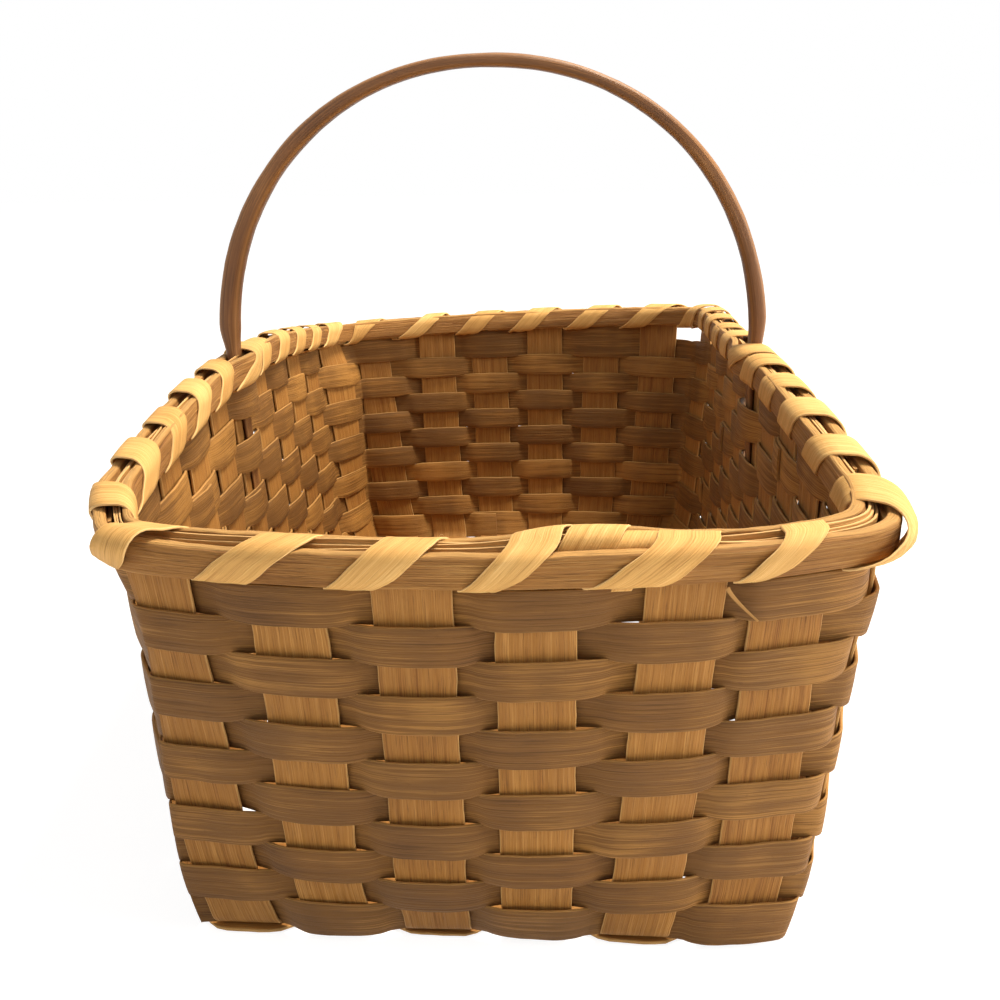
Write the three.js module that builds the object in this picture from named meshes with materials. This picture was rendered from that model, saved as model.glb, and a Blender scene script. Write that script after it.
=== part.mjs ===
// Hand-woven splint basket: a rectangular tray of flat wood splints with a bent-rod handle.
// Millimetres, +Z up, origin on the ground under the middle of the basket. X runs across the
// basket (the handle spans it), Y runs along it. Flat stakes cross in the base, turn up and stand
// as the walls. Closed weavers go round them, over one and under one. Two rim hoops clamp the
// stakes' tops, and one long splint is wound round both hoops, one turn in each gap.
import * as THREE from 'three';

// Splints
const stakeWidth = 25.4;
const stakeThickness = 1.4;
const weaverHeight = 12.2;
const weaverThickness = 1.2;
const rowGap = 0.5;
const rowCount = 11;
const longStakeCount = 6;
const crossStakeCount = 11;

// Plan of the wall's middle surface, at its foot and at the top row's upper edge
const baseLength = 411;
const baseWidth = 243;
const topLength = 414;
const topWidth = 260.5;
const baseSquareness = 12;
const topSquareness = 12;

// The end walls are straight at the foot, and bow out past the top length in their middle
const topBow = 17.5;

// Distance from the wall to the outermost stakes' edges, at the foot and at the top
const baseEndMargin = 5.3;
const baseSideMargin = 19.3;
const topEndMargin = 9.4;
const topSideMargin = 18.4;

// How the stakes turn up, and how far and how softly the long sides rise towards their middle
const bendRadius = 3.6;
const footGap = 0.2;
const straightLimitDegrees = 2;
const sideRise = 18;
const riseEase = 1.3;

// Rim: hoops outside and inside the stakes, with a core strip beside the stakes
const hoopHeight = 12;
const outerHoopThickness = 4.5;
const innerHoopThickness = 3.8;
const coreThickness = 3;
const coreDrop = 2;
const stakeTopDrop = 1.5;
const hoopEdge = 1.2;

// Lashing splint
const lashingWidth = 15;
const lashingThickness = 0.9;
const lashingEdge = 1.5;
const lashingTopAdvance = 2;
const lashingSideGap = 1.2;
const lashingWarpShare = 0.25;
const runProbe = 0.02;
const bulgeSteps = 12;

// Handle: a rod with flat tails, each pushed down inside the middle stake of a long side
const handleHeight = 315;
const rodDepth = 10.5;
const rodThickness = 8;
const rodEdge = 2.6;
const tailWidth = 10;
const tailTipThickness = 1.2;
const tailRows = 4;
const tailTaperLength = 22;
const archSteps = 26;

// Gap between pieces that press on each other
const clearance = 0.35;

// Sizes worked out from those above
const loopCount = 2 * (longStakeCount + crossStakeCount);
const rowPitch = weaverHeight + rowGap;
const basePlyOffset = (stakeThickness + clearance) / 2;
const baseMiddle = basePlyOffset + stakeThickness / 2;
const footLevel = baseMiddle + bendRadius;
const rowsBottom = footLevel + basePlyOffset + footGap;
const rowsTop = rowsBottom + rowCount * rowPitch;
const hoopBottom = rowsTop + lashingThickness + 2 * clearance;
const hoopTop = hoopBottom + hoopHeight;
const weaverOffset = stakeThickness / 2 + clearance + weaverThickness / 2;
const halfStake = stakeWidth / 2;
const stakeFace = stakeThickness / 2 + clearance;
const outerHoopFace = stakeFace + outerHoopThickness;
const innerHoopStart = -(stakeFace + coreThickness + clearance);
const innerHoopFace = innerHoopStart - innerHoopThickness;
const tailRowsBottom = rowsTop - tailRows * rowPitch;

const mix = (a, b, share) => a + (b - a) * share;
const mixPoint = (p, q, share) => [mix(p[0], q[0], share), mix(p[1], q[1], share)];
const along = (p, direction, distance) => [p[0] + direction[0] * distance, p[1] + direction[1] * distance];

// The four walls, counterclockwise from the front. A wall's stakes are counted the same way round.
const walls = [
  { first: 1, count: longStakeCount, run: [1, 0], long: true },
  { first: longStakeCount + 1, count: crossStakeCount, run: [0, 1], long: false },
  { first: longStakeCount + crossStakeCount + 1, count: longStakeCount, run: [-1, 0], long: true },
  { first: 2 * longStakeCount + crossStakeCount + 1, count: crossStakeCount, run: [0, -1], long: false },
];

const wrapPlace = (place) => ((place - 1 + loopCount) % loopCount) + 1;
const wallOf = (place) => walls.find((wall) => place >= wall.first && place < wall.first + wall.count);
const isCorner = (place) => wallOf(wrapPlace(place)) !== wallOf(wrapPlace(place + 1));

// The plan's outline is a superellipse whose ends bow out. This gives its point and its run's
// direction beside a wall.
function outlineAt(wall, offset, halfWidth, halfLength, squareness, endBow) {
  const halfRun = wall.long ? halfWidth : halfLength;
  const halfReach = wall.long ? halfLength : halfWidth;
  const share = Math.min(Math.abs(offset) / halfRun, 0.999);
  const reachShare = (1 - share ** squareness) ** (1 / squareness);
  const out = [wall.run[1], -wall.run[0]];
  const slopeRun = (Math.sign(offset) * share ** (squareness - 1)) / halfRun;
  const slopeOut = reachShare ** (squareness - 1) / halfReach;
  const bow = wall.long ? endBow : 0;
  const turn = Math.atan(slopeRun / slopeOut + (2 * bow * offset) / halfRun ** 2);
  const reach = halfReach * reachShare + bow * (1 - share ** 2);
  const point = along(along([0, 0], wall.run, offset), out, reach);
  return { point, turn };
}

const spacing = (length, margin, count) => (length - 2 * margin - stakeWidth) / (count - 1);
const basePitch = {
  long: spacing(baseWidth, baseSideMargin, longStakeCount),
  cross: spacing(baseLength, baseEndMargin, crossStakeCount),
};
const topPitch = {
  long: spacing(topWidth, topSideMargin, longStakeCount),
  cross: spacing(topLength, topEndMargin, crossStakeCount),
};

// Where each stake stands: its foot, its place at the top row's upper edge, and its turn there
function standStake(place) {
  const wall = wallOf(place);
  const kind = wall.long ? 'long' : 'cross';
  const order = place - wall.first - (wall.count - 1) / 2;
  const footOffset = order * basePitch[kind];
  const topOffset = order * topPitch[kind];
  const foot = outlineAt(wall, footOffset, baseWidth / 2, baseLength / 2, baseSquareness, 0);
  const top = outlineAt(wall, topOffset, topWidth / 2, topLength / 2, topSquareness, topBow);
  return { foot: foot.point, top: top.point, turn: top.turn, run: wall.run };
}
const stands = Array.from({ length: loopCount }, (_, index) => standStake(index + 1));

// A stake's middle point at a height, with the directions along the wall and out of it
function stakeFrame(place, height) {
  const stand = stands[wrapPlace(place) - 1];
  const share = (height - footLevel) / (rowsTop - footLevel);
  const turn = stand.turn * Math.max(share, 0);
  const cos = Math.cos(turn);
  const sin = Math.sin(turn);
  const run = [stand.run[0] * cos - stand.run[1] * sin, stand.run[0] * sin + stand.run[1] * cos];
  return { middle: mixPoint(stand.foot, stand.top, share), run, out: [run[1], -run[0]] };
}

// A point over a stake's flat: a distance along its width, an offset out of its middle surface
function flatPoint(place, distance, offset, height) {
  const frame = stakeFrame(place, height);
  return along(along(frame.middle, frame.run, distance), frame.out, offset);
}

// The point where the tangents of the two stakes beside a corner meet
function cornerControl(place, start, end, height) {
  const a = stakeFrame(place, height).run;
  const b = stakeFrame(place + 1, height).run;
  const cross = a[0] * b[1] - a[1] * b[0];
  const reach = ((end[0] - start[0]) * b[1] - (end[1] - start[1]) * b[0]) / cross;
  return along(start, a, reach);
}

// A point in the gap after a stake, straight between two flats or round a corner
function gapPoint(place, share, offsetBefore, offsetAfter, height, reach = halfStake) {
  const start = flatPoint(place, reach, offsetBefore, height);
  const end = flatPoint(place + 1, -reach, offsetAfter, height);
  if (!isCorner(place)) return mixPoint(start, end, share);
  const control = cornerControl(place, start, end, height);
  return mixPoint(mixPoint(start, control, share), mixPoint(control, end, share), share);
}

// A point of the wall at any place round the loop: whole numbers are the stakes' middles
function loopPoint(position, offset, height) {
  const place = Math.floor(position);
  const start = flatPoint(place, halfStake, offset, height);
  const end = flatPoint(place + 1, -halfStake, offset, height);
  const gap = Math.hypot(end[0] - start[0], end[1] - start[1]);
  const distance = (position - place) * (stakeWidth + gap);
  if (distance <= halfStake) return flatPoint(place, distance, offset, height);
  if (distance >= halfStake + gap) return flatPoint(place + 1, distance - stakeWidth - gap, offset, height);
  return gapPoint(place, (distance - halfStake) / gap, offset, offset, height);
}

function loopPitch(position, height) {
  const place = Math.floor(position);
  const start = flatPoint(place, halfStake, 0, height);
  const end = flatPoint(place + 1, -halfStake, 0, height);
  return stakeWidth + Math.hypot(end[0] - start[0], end[1] - start[1]);
}

// The long sides rise a little towards their middle, and everything on them with it
function raised(x, y, z) {
  const middle = (1 - Math.min(Math.abs(y) / (topLength / 2), 1) ** 2) ** riseEase;
  return new THREE.Vector3(x, y, z + sideRise * Math.min(z / hoopTop, 1) * middle);
}
const at = (plan, z) => raised(plan[0], plan[1], z);

// Of a four-sided facet's diagonals, the one that climbs counterclockwise, so that faces which
// lie on each other over a twisted stake are split alike
const climbs = (p, q) => (q.z - p.z) * (p.x * q.y - p.y * q.x) > 0;

// Joins rings of points into one closed solid, as a loop or with flat ends
function solidFromRings(rings, isLoop) {
  const sides = rings[0].length;
  const points = rings.flat();
  const faces = [];
  const spans = isLoop ? rings.length : rings.length - 1;
  for (let ring = 0; ring < spans; ring += 1) {
    const next = (ring + 1) % rings.length;
    for (let side = 0; side < sides; side += 1) {
      const after = (side + 1) % sides;
      const a = ring * sides + side;
      const b = ring * sides + after;
      const c = next * sides + after;
      const d = next * sides + side;
      if (climbs(points[a], points[c])) faces.push([a, b, c], [a, c, d]);
      else faces.push([a, b, d], [b, c, d]);
    }
  }
  if (!isLoop) {
    const last = (rings.length - 1) * sides;
    for (let side = 1; side < sides - 1; side += 1) {
      faces.push([0, side + 1, side], [last, last + side, last + side + 1]);
    }
  }
  return toGeometry(points, faces);
}

// Turns the faces outward if the ring order left them facing in
function toGeometry(points, faces) {
  const volume = faces.reduce((sum, [a, b, c]) => {
    return sum + points[a].dot(new THREE.Vector3().crossVectors(points[b], points[c]));
  }, 0);
  const ordered = volume > 0 ? faces : faces.map(([a, b, c]) => [a, c, b]);
  const geometry = new THREE.BufferGeometry().setFromPoints(points);
  geometry.setIndex(ordered.flat());
  geometry.computeVertexNormals();
  return geometry;
}

// Where a loop's rings stand: at both edges of each stake's flat, and once round each corner
function loopStations(from, to, reach) {
  const stations = [];
  for (let place = from; place <= to; place += 1) {
    stations.push({ place, distance: -reach });
    stations.push({ place, distance: reach });
    if (isCorner(place)) stations.push({ place, share: 0.5 });
  }
  return stations;
}

function stationPoint(station, offsetAt, height, reach) {
  const { place, distance, share } = station;
  if (share === undefined) return flatPoint(place, distance, offsetAt(place), height);
  return gapPoint(place, share, offsetAt(place), offsetAt(place + 1), height, reach);
}

// Handle stakes: the middle stake of each long side
const sideWalls = walls.filter((wall) => !wall.long);
const handlePlaces = sideWalls.map((wall) => wall.first + (wall.count - 1) / 2);
const isHandlePlace = (place) => handlePlaces.includes(wrapPlace(place));

// The tail is as thick as the rim's core between the hoops, and thins to its tip
function tailThicknessAt(height) {
  const share = (height - tailRowsBottom) / (hoopBottom - tailRowsBottom);
  return mix(tailTipThickness, coreThickness, Math.min(share, 1));
}

// Weavers: row 1 is the top one. A row lies outside a stake where row and place add up to odd.
const rowBottom = (row) => rowsTop - row * rowPitch + rowGap / 2;

function weaverOffsetAt(row, place) {
  if ((row + wrapPlace(place)) % 2 === 1) return weaverOffset;
  if (!isHandlePlace(place) || row > tailRows) return -weaverOffset;
  return -(weaverOffset + clearance + tailThicknessAt(rowBottom(row) + weaverHeight));
}

function weaverSolid(row) {
  const reach = halfStake + clearance;
  const bottom = rowBottom(row);
  const rings = loopStations(1, loopCount, reach).map((station) => {
    const corner = (side, height) => {
      const offsetAt = (place) => weaverOffsetAt(row, place) + (side * weaverThickness) / 2;
      return at(stationPoint(station, offsetAt, height, reach), height);
    };
    return [
      corner(1, bottom + weaverHeight),
      corner(1, bottom),
      corner(-1, bottom),
      corner(-1, bottom + weaverHeight),
    ];
  });
  return solidFromRings(rings, true);
}

// Stakes. The heights where a stake's standing part has rings: more where it twists more.
function standingHeights(place) {
  const top = hoopTop - stakeTopDrop;
  const degrees = Math.abs(THREE.MathUtils.radToDeg(stands[place - 1].turn));
  if (degrees < straightLimitDegrees) return [top];
  const heights = [];
  for (let row = 1; row <= rowCount; row += 1) heights.push(rowsBottom + row * rowPitch);
  return [...heights, top];
}

// One end of a stake, from the base's edge round the bend and up the wall
function standingRings(place, widthSign, level) {
  const ringAt = (middle, run, thickness, z) => {
    const edge = (side, face) => {
      const plan = along(along(middle, run, side * widthSign * halfStake), thickness.out, face * thickness.flat);
      return at(plan, z + face * thickness.rise);
    };
    return [edge(-1, 1), edge(1, 1), edge(1, -1), edge(-1, -1)];
  };
  const half = stakeThickness / 2;
  const bend = [0, Math.PI / 4, Math.PI / 2].map((angle) => {
    const frame = stakeFrame(place, footLevel);
    const foot = along(frame.middle, frame.out, bendRadius * (Math.sin(angle) - 1));
    const thickness = { out: frame.out, flat: half * Math.sin(angle), rise: -half * Math.cos(angle) };
    return ringAt(foot, frame.run, thickness, level + bendRadius * (1 - Math.cos(angle)));
  });
  const standing = standingHeights(place).map((height) => {
    const frame = stakeFrame(place, height);
    return ringAt(frame.middle, frame.run, { out: frame.out, flat: half, rise: 0 }, height);
  });
  return [...bend, ...standing];
}

// Long stake i and cross stake j meet in the base: the long one is on top where i + j is even
const isLongOnTop = (longOrder, crossOrder) => (longOrder + crossOrder) % 2 === 0;
const plyLevel = (isUp) => baseMiddle + (isUp ? basePlyOffset : -basePlyOffset);

function baseRings(isLong, order) {
  const others = isLong ? crossStakeCount : longStakeCount;
  const ownPitch = isLong ? basePitch.long : basePitch.cross;
  const otherPitch = isLong ? basePitch.cross : basePitch.long;
  const ownCount = isLong ? longStakeCount : crossStakeCount;
  const side = (order - (ownCount + 1) / 2) * ownPitch;
  const rings = [];
  for (let other = 1; other <= others; other += 1) {
    const isUp = isLong ? isLongOnTop(order, other) : !isLongOnTop(other, order);
    const level = plyLevel(isUp);
    const middle = (other - (others + 1) / 2) * otherPitch;
    for (const end of [-1, 1]) {
      const run = middle + end * (halfStake + clearance);
      const edge = (across, face) => {
        const plan = isLong ? [side + across * halfStake, run] : [run, side - across * halfStake];
        return at(plan, level - (face * stakeThickness) / 2);
      };
      rings.push([edge(-1, 1), edge(1, 1), edge(1, -1), edge(-1, -1)]);
    }
  }
  return rings;
}

// A whole stake: down one wall, across the base and up the wall opposite
function stakeSolid(isLong, order) {
  const others = isLong ? crossStakeCount : longStakeCount;
  const startPlace = isLong ? order : loopCount + 1 - order;
  const endPlace = isLong ? loopCount - crossStakeCount + 1 - order : longStakeCount + order;
  const upAt = (other) => (isLong ? isLongOnTop(order, other) : !isLongOnTop(other, order));
  const start = standingRings(startPlace, 1, plyLevel(upAt(1))).reverse();
  const end = standingRings(endPlace, -1, plyLevel(upAt(others)));
  return solidFromRings([...start, ...baseRings(isLong, order), ...end], false);
}

// Rim hoops and the core strip between them
function rimSolid(section, stations, isLoop) {
  const rings = stations.map((station) => {
    return section.map(([offset, height]) => {
      return at(stationPoint(station, () => offset, height, halfStake), height);
    });
  });
  return solidFromRings(rings, isLoop);
}

function outerHoopSolid() {
  const section = [
    [stakeFace, hoopBottom],
    [outerHoopFace - hoopEdge, hoopBottom],
    [outerHoopFace, hoopBottom + hoopEdge],
    [outerHoopFace, hoopTop - hoopEdge],
    [outerHoopFace - hoopEdge, hoopTop],
    [stakeFace, hoopTop],
  ];
  return rimSolid(section, loopStations(1, loopCount, halfStake), true);
}

function innerHoopSolid() {
  const section = [
    [innerHoopStart, hoopBottom],
    [innerHoopStart, hoopTop],
    [innerHoopFace, hoopTop],
    [innerHoopFace, hoopBottom],
  ];
  return rimSolid(section, loopStations(1, loopCount, halfStake), true);
}

// The core strip runs from one handle tail round an end of the basket to the other tail
function coreSolid(from, to) {
  const start = { place: from, distance: tailWidth / 2 + clearance };
  const end = { place: to, distance: -(tailWidth / 2 + clearance) };
  const between = loopStations(from, to, halfStake).slice(1, -1);
  const section = [
    [-stakeFace, hoopBottom],
    [-stakeFace, hoopTop - coreDrop],
    [-stakeFace - coreThickness, hoopTop - coreDrop],
    [-stakeFace - coreThickness, hoopBottom],
  ];
  return rimSolid(section, [start, ...between, end], false);
}

// Lashing: each turn comes out under the rim in a gap, climbs the outer face to the next stake,
// crosses the top, and goes down inside to the next gap
const eighth = Math.PI / 8;
const lashingOut = outerHoopFace + clearance + lashingThickness / 2;
const lashingIn = innerHoopFace - clearance - lashingThickness / 2;
const lashingLow = hoopBottom - clearance - lashingThickness / 2;
const lashingHigh = hoopTop + clearance + lashingThickness / 2;

// The rim's direction at any place round the loop
function loopRun(position, offset, height) {
  const before = loopPoint(position - runProbe, offset, height);
  const after = loopPoint(position + runProbe, offset, height);
  const length = Math.hypot(after[0] - before[0], after[1] - before[1]);
  return [(after[0] - before[0]) / length, (after[1] - before[1]) / length];
}

// How far the hoop bulges past a straight line between two places, so that the splint clears it
function bulgeBetween(from, to) {
  const start = loopPoint(from, lashingOut, hoopTop);
  const end = loopPoint(to, lashingOut, hoopTop);
  const length = Math.hypot(end[0] - start[0], end[1] - start[1]);
  let most = 0;
  for (let step = 1; step < bulgeSteps; step += 1) {
    const point = loopPoint(mix(from, to, step / bulgeSteps), lashingOut, hoopTop);
    const cross = (end[0] - start[0]) * (point[1] - start[1]) - (end[1] - start[1]) * (point[0] - start[0]);
    most = Math.max(most, -cross / length);
  }
  return most;
}

// How far a flat splint warps where the rim turns between its two ends
function warpBetween(from, to, offset) {
  const a = loopRun(from, offset, hoopTop);
  const b = loopRun(to, offset, hoopTop);
  return lashingWarpShare * lashingWidth * Math.abs(a[0] * b[1] - a[1] * b[0]);
}

// Where a turn comes out under the rim: in the middle of a gap, or at a corner just before the next stake
function lashingWayOut(place) {
  if (!isCorner(place)) return place + 0.5;
  const beforeStake = halfStake + lashingWidth / 2 + lashingSideGap;
  return place + 1 - beforeStake / loopPitch(place, rowsTop);
}

function lashingTurn(place) {
  const out = lashingWayOut(place);
  const back = place + 1.5;
  const pitch = loopPitch(place + 1, hoopTop);
  const handleShift = (rodDepth + lashingWidth) / 2 + lashingTopAdvance + clearance;
  const top = place + 1 - (isHandlePlace(place + 1) ? handleShift / pitch : 0);
  const advance = lashingTopAdvance / 2 / pitch;
  const outer = lashingOut + bulgeBetween(out, top) + warpBetween(out, top, lashingOut);
  const inner = lashingIn - warpBetween(top, back, lashingIn);
  const gap = loopPitch(place, rowsTop) - stakeWidth;
  const pass = Math.min(lashingWidth, gap - 2 * lashingSideGap);
  const edge = lashingEdge;
  return [
    { position: out, offset: 0, height: lashingLow, angle: -4 * eighth, fold: 0, width: pass },
    { position: out, offset: outer - edge, height: lashingLow, angle: -3 * eighth },
    { position: out, offset: outer, height: lashingLow + edge, angle: -eighth },
    { position: top - advance, offset: outer, height: lashingHigh - edge, angle: eighth },
    { position: top - advance, offset: outer - edge, height: lashingHigh, angle: 3 * eighth },
    { position: top + advance, offset: inner, height: lashingHigh, angle: 6 * eighth, fold: 2 },
    { position: back, offset: inner, height: lashingLow, angle: 10 * eighth, fold: 2 },
  ];
}

// One cross-section of the splint: flat on the hoops, its width along the rim. Outside, the width
// lies straight along the rim's tangent. Inside, both edges touch the hoop.
function lashingRing({ position, offset, height, angle, fold = 1, width = lashingWidth }) {
  const half = lashingThickness / 2 / Math.cos(fold * eighth);
  const reach = width / 2 / loopPitch(position, height);
  const corner = (side, face) => {
    const faceOffset = offset + face * half * Math.cos(angle);
    const faceHeight = height + face * half * Math.sin(angle);
    if (offset <= 0) return at(loopPoint(position + side * reach, faceOffset, faceHeight), faceHeight);
    const run = loopRun(position, faceOffset, faceHeight);
    return at(along(loopPoint(position, faceOffset, faceHeight), run, (side * width) / 2), faceHeight);
  };
  return [corner(-1, 1), corner(1, 1), corner(1, -1), corner(-1, -1)];
}

function lashingSolid() {
  const turns = Array.from({ length: loopCount }, (_, index) => lashingTurn(index + 1));
  return solidFromRings(turns.flat().map(lashingRing), true);
}

// Handle: one tail's sections from its tip up to the rod, then the arch, then the other tail
function handleSection(centre, out, up, width, thickness, edge) {
  const halfWidth = width / 2;
  const half = thickness / 2;
  const outline = [
    [halfWidth - edge, half],
    [halfWidth, half - edge],
    [halfWidth, edge - half],
    [halfWidth - edge, -half],
    [edge - halfWidth, -half],
    [-halfWidth, edge - half],
    [-halfWidth, half - edge],
    [edge - halfWidth, half],
  ];
  return outline.map(([across, depth]) => {
    return raised(centre[0] + out * depth, across, centre[1] + up * depth);
  });
}

// The tail's middle, out from the basket's middle, at a height
function tailReach(height) {
  const frame = stakeFrame(handlePlaces[0], height);
  return frame.middle[0] - stakeFace - tailThicknessAt(height) / 2;
}

function handleSolid() {
  const tip = tailRowsBottom + rowGap;
  const tailEdge = tailTipThickness / 4;
  const tail = [tip, hoopBottom, hoopTop].map((height) => {
    return handleSection([tailReach(height), height], 1, 0, tailWidth, tailThicknessAt(height), tailEdge);
  });
  const halfSpan = tailReach(hoopTop);
  const rise = handleHeight - sideRise - rodThickness / 2 - hoopTop;
  const arch = [];
  for (let step = 0; step <= archSteps; step += 1) {
    const angle = (Math.PI * (step + 0.5)) / (archSteps + 1);
    const centre = [halfSpan * Math.cos(angle), hoopTop + rise * Math.sin(angle)];
    const slope = Math.hypot(rise * Math.cos(angle), halfSpan * Math.sin(angle));
    const out = (rise * Math.cos(angle)) / slope;
    const up = (halfSpan * Math.sin(angle)) / slope;
    const share = Math.min((centre[1] - hoopTop) / tailTaperLength, 1);
    const width = mix(tailWidth, rodDepth, share);
    const thickness = mix(coreThickness, rodThickness, share);
    arch.push(handleSection(centre, out, up, width, thickness, mix(tailEdge, rodEdge, share)));
  }
  const mirrored = tail.map((ring) => mirrorRing(ring)).reverse();
  return solidFromRings([...tail, ...arch, ...mirrored], false);
}

// The far tail's ring, with its points in the order that the arch brings them
function mirrorRing(ring) {
  return ring.map((point) => new THREE.Vector3(-point.x, point.y, point.z));
}

// Materials, one for each kind of splint
const wood = (color, roughness) => () => new THREE.MeshStandardMaterial({ color, roughness, metalness: 0 });
const stakeWood = wood(0xd0a468, 0.72);
const weaverWood = wood(0xa47a4c, 0.7);
const hoopWood = wood(0xc4935a, 0.66);
const coreWood = wood(0xd9b277, 0.75);
const lashingWood = wood(0xdcb57c, 0.68);
const handleWood = wood(0x8e5a33, 0.5);

const group = new THREE.Group();

function addPiece(name, geometry, material) {
  const mesh = new THREE.Mesh(geometry, material());
  mesh.name = name;
  group.add(mesh);
}

for (let order = 1; order <= longStakeCount; order += 1) {
  addPiece(`long_stake_${order}`, stakeSolid(true, order), stakeWood);
}
for (let order = 1; order <= crossStakeCount; order += 1) {
  addPiece(`cross_stake_${order}`, stakeSolid(false, order), stakeWood);
}
for (let row = 1; row <= rowCount; row += 1) {
  addPiece(`weaver_${row}`, weaverSolid(row), weaverWood);
}
addPiece('outer_rim_hoop', outerHoopSolid(), hoopWood);
addPiece('inner_rim_hoop', innerHoopSolid(), hoopWood);
addPiece('rim_core_back', coreSolid(handlePlaces[0], handlePlaces[1]), coreWood);
addPiece('rim_core_front', coreSolid(handlePlaces[1], handlePlaces[0] + loopCount), coreWood);
addPiece('rim_lashing', lashingSolid(), lashingWood);
addPiece('handle', handleSolid(), handleWood);

export default group;
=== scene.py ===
"""Hand-woven splint basket with a bent-rod handle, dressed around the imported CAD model.

Shapes are worked out in millimetres, in the frame of the CAD part: +Z up, the ground at zero, X across the
basket and Y along it. Places along the wall are counted from 1 at the front's left stake, counterclockwise
seen from above. A whole number is a stake's middle and a half is the middle of the gap after it. A strip is
its settled points (stations, section, 3) with their tones: lightness, greyness and worn edge.
"""

import logging
import math
from dataclasses import dataclass
from enum import Enum
from functools import cached_property

import bpy
import numpy as np
from mathutils import Matrix, Vector


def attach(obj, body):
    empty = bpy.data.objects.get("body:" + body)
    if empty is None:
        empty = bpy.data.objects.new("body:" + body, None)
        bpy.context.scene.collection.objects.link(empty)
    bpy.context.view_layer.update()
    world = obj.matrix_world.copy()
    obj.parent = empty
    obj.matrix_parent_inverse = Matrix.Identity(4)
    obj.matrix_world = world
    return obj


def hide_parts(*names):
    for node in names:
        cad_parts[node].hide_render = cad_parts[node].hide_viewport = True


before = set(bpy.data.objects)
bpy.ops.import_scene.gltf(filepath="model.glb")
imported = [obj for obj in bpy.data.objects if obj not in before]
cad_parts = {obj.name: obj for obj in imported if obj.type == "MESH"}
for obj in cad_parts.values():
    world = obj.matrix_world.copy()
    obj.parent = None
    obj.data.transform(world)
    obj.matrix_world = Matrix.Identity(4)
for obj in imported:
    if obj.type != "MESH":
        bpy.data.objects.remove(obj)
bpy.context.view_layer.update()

LOG = logging.getLogger("basket")
MILLIMETRE = 0.001
BODY = "root"
UV_NAME = "splint"
TONE_NAME = "tone"
WHITE = (1.0, 1.0, 1.0, 1.0)
WAVE_STEP = 1.63
WAVE_FADE = 0.72
WAVE_GAIN = 1.6
HALF_TURN = math.pi

Array = np.ndarray
Strip = tuple[Array, Array]
Triple = tuple[float, float, float]
Waves = tuple[tuple[float, float], ...]
Node = bpy.types.Node
Socket = bpy.types.NodeSocket
Sockets = bpy.types.bpy_prop_collection
Material = bpy.types.Material


class Slot(Enum):
    """Names of material slots."""

    STAKE = "stake_wood"
    WEAVER = "weaver_wood"
    HOOP = "hoop_wood"
    CORE = "core_wood"
    LASHING = "lashing_wood"
    HANDLE = "handle_wood"


def blend(low: Array, high: Array, share: Array) -> Array:
    """The straight mix low + (high - low) * share."""
    return low + (high - low) * share


def ramp(value: Array, length: float) -> Array:
    """The value over a length, held between 0 and 1."""
    return np.clip(value / length, 0.0, 1.0)


def ease(value: Array, length: float = 1.0) -> Array:
    """The smooth step 3t^2 - 2t^3 with t = ramp(value, length)."""
    share = ramp(value, length)
    return share * share * (3.0 - 2.0 * share)


def bump(value: Array, width: float) -> Array:
    """The bell curve exp(-(value / width)^2)."""
    return np.exp(-((value / width) ** 2))


def signed_power(value: Array, power: float) -> Array:
    """The power of the value's size, with the value's own sign."""
    return np.sign(value) * np.abs(value) ** power


def distances(points: Array) -> Array:
    """How far along a path each point lies, or the mean over the lines of a grid."""
    steps = np.linalg.norm(np.diff(points, axis=0), axis=-1)
    return np.concatenate([[0.0], np.cumsum(steps.reshape(len(steps), -1).mean(1))])


def ripple(value: Array, seed: int, longest: float, waves: int = 5) -> Array:
    """Smooth hand-made unevenness: a sum of sines with seeded phases, each shorter and weaker than the last.

    Args:
        value: distances along the piece.
        seed: picks the phases.
        longest: the longest wave's length.
        waves: how many sines are added.

    Returns:
        An array like value, roughly between -1 and 1.
    """
    draw = np.random.default_rng(seed)
    phases = draw.uniform(0.0, 2.0 * math.pi, waves)
    stretch = draw.uniform(0.85, 1.2, waves)
    order = np.arange(waves)
    rates = 2.0 * math.pi / longest * WAVE_STEP**order * stretch
    weights = WAVE_FADE**order
    waved = np.sin(np.asarray(value)[..., None] * rates + phases) * weights
    return waved.sum(-1) / weights.sum() * WAVE_GAIN


def uneven(value: Array, seed: int, waves: Waves, step: int = 1) -> Array:
    """A sum of ripples.

    Args:
        value: distances along the piece.
        seed: the first ripple's seed.
        waves: each ripple's height and longest wave.
        step: from one ripple's seed to the next.

    Returns:
        An array like value.
    """
    return sum(high * ripple(value, seed + step * k, longest) for k, (high, longest) in enumerate(waves))


@dataclass(frozen=True)
class Outline:
    """A superellipse that the stakes stand on, and whose short walls bow out.

    The side margin goes from the end of a short wall to its first stake's edge, the end margin does so on a
    long wall, and the squareness is the exponent.
    """

    width: float
    length: float
    squareness: float
    side_margin: float
    end_margin: float
    bow: float = 0.0


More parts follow.
